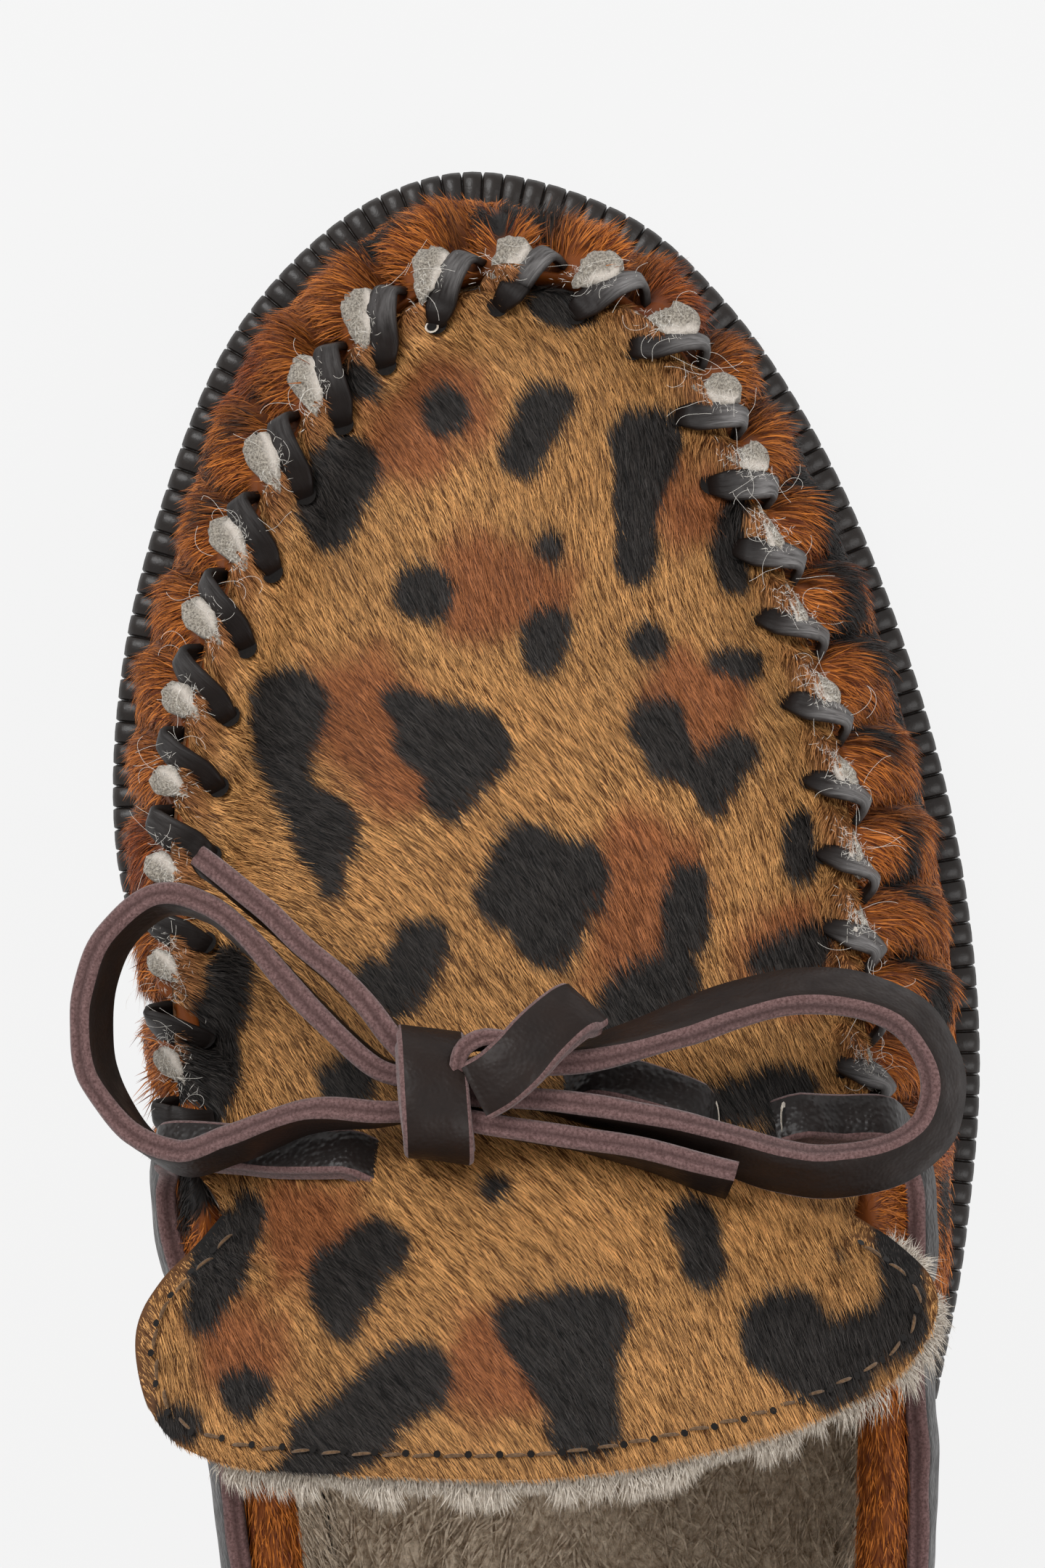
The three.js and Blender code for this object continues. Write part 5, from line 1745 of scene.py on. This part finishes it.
    def grow_fur(self) -> None:
        """Grows the short hair in three pieces: toe, instep and tongue."""
        x = self.points[:, 0]
        for name, seed, part, count in (
            ("apron_hair_toe", 91, x > 62, 84000),
            ("apron_hair_instep", 92, (x <= 62) & (x > THROAT_X - 1.5), 94000),
            ("tongue_hair", 93, x <= THROAT_X + 1.5, 64000),
        ):
            fur = Fur(
                name, Slot.APRON, (2.0, 3.6), 0.125, 0.13, 0.12, seed,
                spread=0.12, roll=0.4, bent=False,
            )
            roots = Roots(self.points, self.quads, count, seed, part.astype(float))
            places, normal = roots.at(self.points), unit(roots.at(self.normals))
            swirl = waves(places, 45.0, 95) * 0.2
            angle = np.radians(24 + 0.75 * np.clip(places[:, 1], -30, 32)) + swirl
            flow = lie(np.stack([-np.cos(angle), -np.sin(angle), np.zeros(count)], 1), normal)
            flow = unit(flow + normal * 0.24 * roots.at(self.valley)[:, None])
            frayed = places[:, :2] + np.random.default_rng(seed).normal(0, 0.16, (count, 2))
            told = {
                "ink": APRON_INK.value(frayed),
                "patch": np.maximum(APRON_ROSETTE.value(frayed), roots.at(self.rust)),
            }
            light = 0.5 + 0.3 * waves(places, 0.7, 96)
            short = self.near_edge(places) * (1 - 0.45 * roots.at(self.near_seam))
            fur.grow(places, normal, flow, self.hair, told, light, short)

    def near_edge(self, places: np.ndarray) -> np.ndarray:
        """Length of the hair, short along the tongue's free edge.

        Args:
            places: roots of the hairs.

        Returns:
            Share of full length that each has.
        """
        edge = self.outline(0.0, 0.7)
        gap = np.full(len(places), 9.0)
        tail = places[:, 0] < THROAT_X + 4
        close = places[tail, :2]
        for chunk in range(0, len(edge), 16):
            some = np.linalg.norm(close[:, None] - edge[None, chunk : chunk + 16], axis=-1).min(1)
            gap[tail] = np.minimum(gap[tail], some)
        return 0.3 + 0.7 * smoothstep(gap, 0.2, 2.4)

    def outline(self, inset: float, step: float) -> np.ndarray:
        """Line along the tongue's free edge, from the inner throat round its end.

        Args:
            inset: its distance inside the edge.
            step: distance between two of its places.

        Returns:
            Its places in plan.
        """
        xs = (np.linspace(THROAT + 0.004, TONGUE[0, 0], 60) - 0.5) * LENGTH
        inner, outer, *_ = LAST.edges(xs)
        loop = np.vstack([np.stack([xs, inner], 1), np.stack([xs, outer], 1)[::-1]])
        knots = loop[np.r_[0:60:6, 58:62, 62:120:6, 119]]
        smooth, _ = open_curve(knots, 0.5)
        along = unit(np.gradient(smooth, axis=0))
        inward = np.stack([along[:, 1], -along[:, 0]], 1)
        if ((smooth.mean(0) - smooth) * inward).sum() < 0:
            inward = -inward
        line = smooth + inward * inset
        at = gone(line)
        return resample(np.arange(step, at[-1] - step, step), at, line)

    def stitch_edge(self) -> None:
        """Sews the tongue's edge with short stitches, each out of its own hole, a small dark disc
        of painted shade.
        """
        line = self.outline(2.3, 3.2)
        middle, normal = LAST.apron(line[:, 0], line[:, 1])
        along = unit(np.gradient(line, axis=0))
        direction = lie(unit(np.concatenate([along, np.zeros((len(line), 1))], 1)), normal)
        t = np.linspace(-1, 1, 7)[:, None]
        bend = np.sqrt(np.maximum(1 - t**2, 0))
        thick = 0.4 + 0.6 * bend
        angle = np.linspace(0, 2 * math.pi, 8, endpoint=False)
        aside, above = 0.2 * thick * np.cos(angle), 0.18 * thick * np.sin(angle)
        stitches, holes = [], []
        for p, d, n in zip(middle, direction, normal):
            axis = p + d * (1.1 * t) + n * (0.2 + 0.25 * bend)
            rings = axis[:, None] + np.cross(n, d) * aside[..., None] + n * above[..., None]
            stitches.append((rings.reshape(-1, 3), grid_faces(7, 8, round_columns=True)))
            holes.append(disc(p + d * 1.6 + n * 0.55, n, 0.42, 8))
        build_mesh("tongue_edge_stitches", *joined(stitches), [self.thread], Slot.APRON)
        build_mesh("tongue_stitch_holes", *joined(holes), [self.hole], Slot.APRON)

    def punch(self) -> None:
        """Lays dark discs of painted shade for the holes of the whip stitches and for the spare
        holes and slots, these with pale rims.
        """
        punched = []
        for spot in stitch_holes(0.35):
            _, n = LAST.apron(spot[0], spot[1])
            punched.append(disc(spot, n, 1.25, 16))
        build_mesh("whip_stitch_holes", *joined(punched), [self.hole], Slot.APRON)
        rims, pits = [], []
        for x, y, across, high in SPARE_HOLES:
            centre, n = LAST.apron(x, y)
            for parts, share, up in ((rims, 1.0, 0.7), (pits, 0.72, 0.78)):
                points, quads = disc(np.zeros(3), n, share, 16)
                parts.append((points * [high, across, 1.0] + centre + n * up, quads))
        build_mesh("spare_hole_rims", *joined(rims), [self.rim], Slot.APRON)
        build_mesh("spare_holes", *joined(pits), [self.hole], Slot.APRON)

    def rim_fleece(self) -> None:
        """Grows the fleece that shows under the tongue's free end, in tufts."""
        line = self.outline(0.4, 0.25)
        point, normal = LAST.apron(line[:, 0], line[:, 1])
        along = unit(np.gradient(point, axis=0))
        out = np.cross(along, normal)
        if ((point - point.mean(0)) * out).sum() < 0:
            out = -out
        rng = np.random.default_rng(101)
        pick = rng.integers(0, len(point), 20000)
        depth = rng.uniform(1.5, 2.7, len(pick))[:, None]
        aside = rng.uniform(-0.2, 0.2, len(pick))[:, None]
        places = point[pick] - normal[pick] * depth + along[pick] * aside
        back, outer = -point[pick][:, 0], -point[pick][:, 1]
        end = smoothstep(back, 3, 12)
        end = np.maximum(end * smoothstep(outer, -37, -30), smoothstep(outer, 36, 39))
        clumps = waves(places, 5.0, 103) + 0.4 * waves(places, 1.6, 104)
        tuft = smoothstep(clumps, -0.35, 0.45)
        keep = rng.uniform(size=len(pick)) < end * (0.65 + 0.35 * tuft)
        long = (0.75 + 0.75 * tuft) * (1 + 0.4 * smoothstep(outer, 30, 38))
        flow = unit(out[pick] * 1.0 - UP * rng.uniform(0.2, 1.0, len(pick))[:, None])
        fur = Fur("tongue_rim_fleece", Slot.LINING, (1.8, 3.2), 0.1, 0.12, 0.5, 102, spread=0.3)
        fur.grow(places[keep], normal[pick][keep], flow[keep], self.rim, {}, 0.6, long[keep])


def disc(
    centre: np.ndarray, normal: np.ndarray, radius: float, sides: int
) -> tuple[np.ndarray, np.ndarray]:
    """Flat round patch of quads.

    Args:
        centre: its middle.
        normal: direction square to it.
        radius: its radius.
        sides: number of its corners.

    Returns:
        Its points and quads.
    """
    across = unit(np.cross(normal, [0.3, 1.0, 0.2]))
    other = np.cross(normal, across)
    angle = np.linspace(0, 2 * math.pi, sides, endpoint=False)
    ring = centre + radius * (np.cos(angle)[:, None] * across + np.sin(angle)[:, None] * other)
    half = ring * 0.4 + centre * 0.6
    quads = [[i, (i + 1) % sides, sides + (i + 1) % sides, sides + i] for i in range(sides)]
    cap = [
        [sides + i, sides + i + 1, 2 * sides - 2 - i, 2 * sides - 1 - i]
        for i in range(sides // 2 - 1)
    ]
    return np.vstack([ring, half]), np.array(quads + cap)


@dataclass
class WhipSeam:
    """Raw hide edges standing between thick leather whip stitches, with loose fibres."""

    thong: bpy.types.Material
    raw: bpy.types.Material
    fibre: bpy.types.Material
    thong_half: float = 1.8

    @staticmethod
    def place(along: Numbers, outwards: Numbers, up: Numbers) -> np.ndarray:
        """Point level with the seam's ridge: along it, outwards in plan and straight up."""
        along = np.clip(along, 0, LAST.seam_length)
        out = LAST.top.outward(LAST.seam_row(along))
        level = np.concatenate([out * outwards[..., None], up[..., None]], -1)
        return LAST.seam(along, 0.0, 0.0) + level

    def lip(self, start: float, end: float, plump: float) -> tuple[np.ndarray, ...]:
        """The two raw edges between two stitches: a leaning teardrop, round end outwards.

        Args:
            start: where it starts along the seam.
            end: where it ends.
            plump: how full it stands, from 0 to 1.

        Returns:
            Points, quads and share of fluff at each point.
        """
        half, tilt, broad = 0.75 + 1.4 * plump, plump * slant((start + end) / 2), 0.62
        s = np.linspace(0, 1, 24)
        drop = ((s - broad) / np.where(s > broad, 1 - broad, broad)) ** 2
        drop = np.sqrt(np.maximum(1 - drop, 0.003))
        drop = drop * np.where(s < broad, 0.35 + 0.65 * s / broad, 1.0)
        axis_out = 0.1 + plump * (5.4 * s - 1.8)
        straight = start + (end - start) * s
        leaning = (start + end) / 2 + axis_out * tilt + 0.1 - 2.1 * s
        axis_at = straight + plump * (leaning - straight)
        ahead, aside = np.gradient(axis_at), np.gradient(axis_out)
        ahead, aside = ahead / np.hypot(ahead, aside), aside / np.hypot(ahead, aside)
        angle = np.linspace(0, 2 * math.pi, 28, endpoint=False)
        swell, a = np.meshgrid(drop, angle, indexing="ij")
        at = axis_at[:, None] - aside[:, None] * half * np.cos(a) * swell
        outwards = axis_out[:, None] + ahead[:, None] * half * np.cos(a) * swell
        upper = np.sin(a) > 0
        strip = np.cos(a) + 0.5
        groove = 0.4 * np.exp(-(((strip - 0.38) / 0.14) ** 2)) * upper
        slope = np.where(outwards > 0, 0.3, 0.5)
        dome = np.sign(np.sin(a)) * np.abs(np.sin(a)) ** 0.42 * np.sqrt(swell)
        up = 1.25 + 1.5 * dome - slope * outwards - groove * swell
        points = self.place(at, outwards, up)
        rough = waves(points, 1.8, 111)[..., None] * 0.16
        points = points + rough + waves(points, 0.9, 112)[..., None] * 0.09
        fluff = np.exp(-((strip / 0.34) ** 2)) * upper * smoothstep(swell, 0.3, 0.8)
        quads = grid_faces(len(s), len(angle), round_columns=True)[:, ::-1]
        return points.reshape(-1, 3), quads, fluff.ravel()

    def stitch(self, at: float, seed: int) -> tuple[np.ndarray, np.ndarray, dict]:
        """One thong over the edges, from its hole in the apron to the wrap's side.

        Args:
            at: where it crosses, along the seam.
            seed: picks its small differences.

        Returns:
            Points, quads and the numbers that its leather reads at each point: its painted sheen
            and grain coordinates.
        """
        rng = np.random.default_rng(seed)
        n, sides = 34, 20
        reach = float(hole_across(at))
        across = np.linspace(reach + 0.5, -1.5, n)
        crest = 0.75 + 2.3 * np.exp(-(np.abs((across - 0.5) / 2.9) ** 2.6))
        crest = crest - 2.6 * smoothstep(-across, -0.3, 1.5)
        crest = crest - 1.5 * smoothstep(across, reach - 0.8, reach + 0.5)
        along = at - across * slant(at) * rng.uniform(0.95, 1.08)
        along = np.clip(along, 0.2, LAST.seam_length - 0.2)
        centre = LAST.seam(along, across, crest)
        direction = unit(np.gradient(centre, axis=0))
        normal = unit(LAST.seam(along, across, crest + 1.0) - centre)
        side = unit(np.cross(direction, normal))
        up = np.cross(side, direction)
        turn = math.radians(rng.uniform(-10, 10))
        turn = turn + np.radians(16) * np.sin(np.linspace(0, 2.6, n) + rng.uniform(-0.4, 0.4))
        turn = turn[:, None]
        side, up = side * np.cos(turn) + up * np.sin(turn), up * np.cos(turn) - side * np.sin(turn)
        angle = np.linspace(0, 2 * math.pi, sides, endpoint=False)
        width = self.thong_half * (1 - 0.4 * smoothstep(-across, -0.8, 1.5))
        width = width * (1 - 0.5 * smoothstep(across, reach - 1.5, reach + 0.5))
        width = width * (0.9 + 0.1 * np.sin(np.linspace(0.3, 3.0, n)))
        aside = np.sign(np.cos(angle)) * np.abs(np.cos(angle)) ** 0.42
        above = 0.5 * np.sign(np.sin(angle)) * np.abs(np.sin(angle)) ** 0.5
        rings = centre[:, None] + side[:, None] * (width[:, None] * aside)[..., None]
        rings = rings + up[:, None] * above[None, :, None]
        # Painted sheen: a lighter band on the upper side of each thong's outer part, stronger on
        # stitches past about 85 mm along the seam
        gloss = 0.22 + 0.73 * smoothstep(at, 85, 130)
        band = np.exp(-(np.abs((across - 0.9) / 1.35) ** 2.4))[:, None]
        sheen = band * np.maximum(np.sin(angle + 0.5), 0)[None, :] ** 0.8 * gloss
        weft = width[:, None] * np.cos(angle) + 7.0 * seed
        run = np.repeat(across[:, None] * 0.22, sides, 1)
        told = {"sheen": sheen.ravel(), "weft": weft.ravel(), "run": run.ravel()}
        return rings.reshape(-1, 3), grid_faces(n, sides, round_columns=True)[:, ::-1], told

    def build(self) -> None:
        """Makes the raw edges, the stitches and the loose fibres."""
        lips = [
            self.lip(a + 0.6, b - 0.4, plump)
            for a, b, plump in zip(STITCHES, STITCHES[1:], LIP_FULLNESS)
        ]
        fluff = np.concatenate([piece[2] for piece in lips])
        edges = joined([piece[:2] for piece in lips])
        build_mesh("raw_edges", *edges, [self.raw], Slot.THONG, {"groove_shade_and_fluff": fluff})
        stitches = [self.stitch(at, 120 + k) for k, at in enumerate(STITCHES)]
        told = {
            name: np.concatenate([piece[2][name] for piece in stitches])
            for name in ("sheen", "weft", "run")
        }
        thongs = joined([piece[:2] for piece in stitches])
        made = build_mesh("whip_stitches", *thongs, [self.thong], Slot.THONG, told)
        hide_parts("whip_seam")
        rng = np.random.default_rng(131)
        self.fuzz(rng)
        self.strays(rng)

    def fuzz(self, rng: np.random.Generator) -> None:
        """Grows short pale fluff in the raw edges, away from the stitches."""
        end = LAST.seam_length - 1
        at = np.concatenate([rng.uniform(1, end, 4200), rng.uniform(150, end, 1800)])
        at = at[stitch_gap(at) > 2.3]
        outwards = rng.normal(0.2, 0.9, len(at))
        roots = self.place(at + outwards * slant(at), outwards, 2.75 - 0.25 * outwards)
        outward = unit(np.tile(UP, (len(at), 1)) + rng.normal(0, 0.3, roots.shape))
        flow = unit(rng.normal(size=roots.shape) * [1, 1, 0.5])
        fur = Fur("seam_fuzz", Slot.THONG, (0.5, 1.2), 0.045, 0.6, 0.5, 132, spread=0.6)
        fur.grow(roots, outward, flow, self.fibre, {})

    def strays(self, rng: np.random.Generator, count: int = 150, joints: int = 14) -> None:
        """Lays long stray fibres along the raw edges.

        Args:
            rng: source of the random draws.
            count: number of fibres.
            joints: number of places in each.
        """
        fibres = []
        for _ in range(count):
            start = rng.uniform(2, LAST.seam_length - 2)
            across = rng.normal(0.9, 1.2)
            heading = rng.uniform(0, 2 * math.pi)
            forward, up = 0.0, 2.6
            places = []
            bend = rng.normal(0, 0.08)
            for _ in range(joints):
                places.append((start + forward, across, up))
                bend += rng.normal(0, 0.06)
                heading += bend
                step = rng.uniform(0.28, 0.42)
                forward += math.cos(heading) * step
                across += math.sin(heading) * step
                up = max(1.6, up + rng.normal(0.02, 0.2))
            at, out, high = np.array(places).T
            line = self.place(at, np.clip(out, -6, 6), high + 0.3 - 0.35 * out)
            along = unit(np.gradient(line, axis=0))
            aside = unit(np.cross(along, UP)) * 0.014
            corners = np.stack([line - aside, line + aside], 1).reshape(-1, 3)
            fibres.append((corners, grid_faces(joints, 2)))
        build_mesh("stray_fibres", *joined(fibres), [self.fibre], Slot.THONG)


def footbed(fleece: bpy.types.Material) -> None:
    """Fleece footbed with its short pile, shorter still at the heel's wall."""
    steps = 26
    rows = np.arange(0, ROWS, 0.125)
    outline = LAST.sole.point(rows) - LAST.sole.outward(rows) * (RIM + WALL + 0.6)
    centre = np.stack([outline[:, 0] * 0.96, np.full(len(rows), outline[:, 1].mean())], 1)
    share = np.linspace(0, 1, steps)[None, :, None]
    plan = outline[:, None] * (1 - share) + centre[:, None] * share
    z = LAST.rim_z(plan[..., 0]) - CUP_DEPTH + 3.3 + 0.3 * waves(plan, 16.0, 141)
    points = np.concatenate([plan, z[..., None]], -1).reshape(-1, 3)
    quads = grid_faces(len(rows), steps, round_rows=True)
    made = build_mesh("footbed_fleece", points, quads, [fleece], Slot.LINING)
    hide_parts("insole")
    places = Roots(points, quads, 16000, 142).at(points)
    swirl = waves(places, 24.0, 143)
    flow = unit(np.stack([-np.ones_like(swirl), 0.4 * swirl, np.zeros_like(swirl)], 1))
    short = 0.3 + 0.7 * smoothstep(places[:, 0] - places[:, 0].min(), 4, 14)
    fur = Fur("footbed_pile", Slot.LINING, (4.5, 8.0), 0.28, 0.28, 0.25, 144, spread=0.5)
    fur.grow(places, np.tile(UP, (len(places), 1)), flow, fleece, {}, 0.5, short)


def camera() -> None:
    """Camera straight above the forefoot, toe up, as in the photograph."""
    sensor, height, half_view = 24.0, 0.850, 0.0911
    data = bpy.data.cameras.new("Camera")
    data.sensor_fit = "VERTICAL"
    data.sensor_height = sensor
    data.lens = sensor / 2 / (half_view / height)
    made = bpy.data.objects.new("Camera", data)
    made.location = (0.0577, 0.0027, height)
    made.rotation_euler = (0, 0, -math.pi / 2)
    bpy.context.scene.collection.objects.link(made)
    bpy.context.scene.camera = made


def area_light(name: str, place: tuple, size: float, watts: float) -> None:
    """Square soft box that faces the shoe.

    Args:
        name: its name.
        place: where it stands, in metres.
        size: length of its side in metres.
        watts: its power.
    """
    data = bpy.data.lights.new(name, "AREA")
    data.size = size
    data.energy = watts
    made = bpy.data.objects.new(name, data)
    made.location = place
    aim = Vector((0.05, 0, 0.03)) - Vector(place)
    made.rotation_euler = aim.to_track_quat("-Z", "Y").to_euler()
    bpy.context.scene.collection.objects.link(made)


def studio() -> None:
    """Pale floor, soft boxes and a pale sky."""
    bpy.context.scene.view_settings.view_transform = "Standard"
    world = bpy.data.worlds.new("Studio")
    world.use_nodes = True
    sky = {"Color": (1, 1, 1, 1), "Strength": 0.55}
    feed(world.node_tree, world.node_tree.nodes["Background"], sky)
    bpy.context.scene.world = world
    area_light("Key soft box", (0.75, 0.55, 1.1), 0.7, 11.0)
    area_light("Fill soft box", (-0.3, -0.9, 1.0), 0.9, 6.0)
    bpy.ops.mesh.primitive_plane_add(size=6, location=(0, 0, -0.0004))
    floor = bpy.context.object
    floor.name = "Floor"
    floor.data.materials.append(floor_finish())


def note_bounds() -> None:
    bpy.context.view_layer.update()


def main() -> None:
    """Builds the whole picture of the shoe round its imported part."""
    logging.basicConfig(level=logging.INFO, format="%(message)s")
    note_bounds()
    camera()
    suede = LACE_SUEDE.build()
    fleece = FLEECE.build()
    Bow(LACE_GRAIN.build(), suede).build()
    LaceRuns(LACE_PEBBLE.build(), suede).build()
    Wrap(WRAP_HAIR.build(), fleece).build()
    Apron(
        APRON_HAIR.build(), CUT_EDGE.build(), fleece, THREAD.build(), HOLE.build(),
        PALE_FLEECE.build(),
    ).build()
    WhipSeam(THONG.build(), RAW_EDGE.build(), FIBRE.build()).build()
    footbed(fleece)
    Sole(rubber()).build()
    studio()
    note_bounds()


if __name__ == "__main__":
    main()
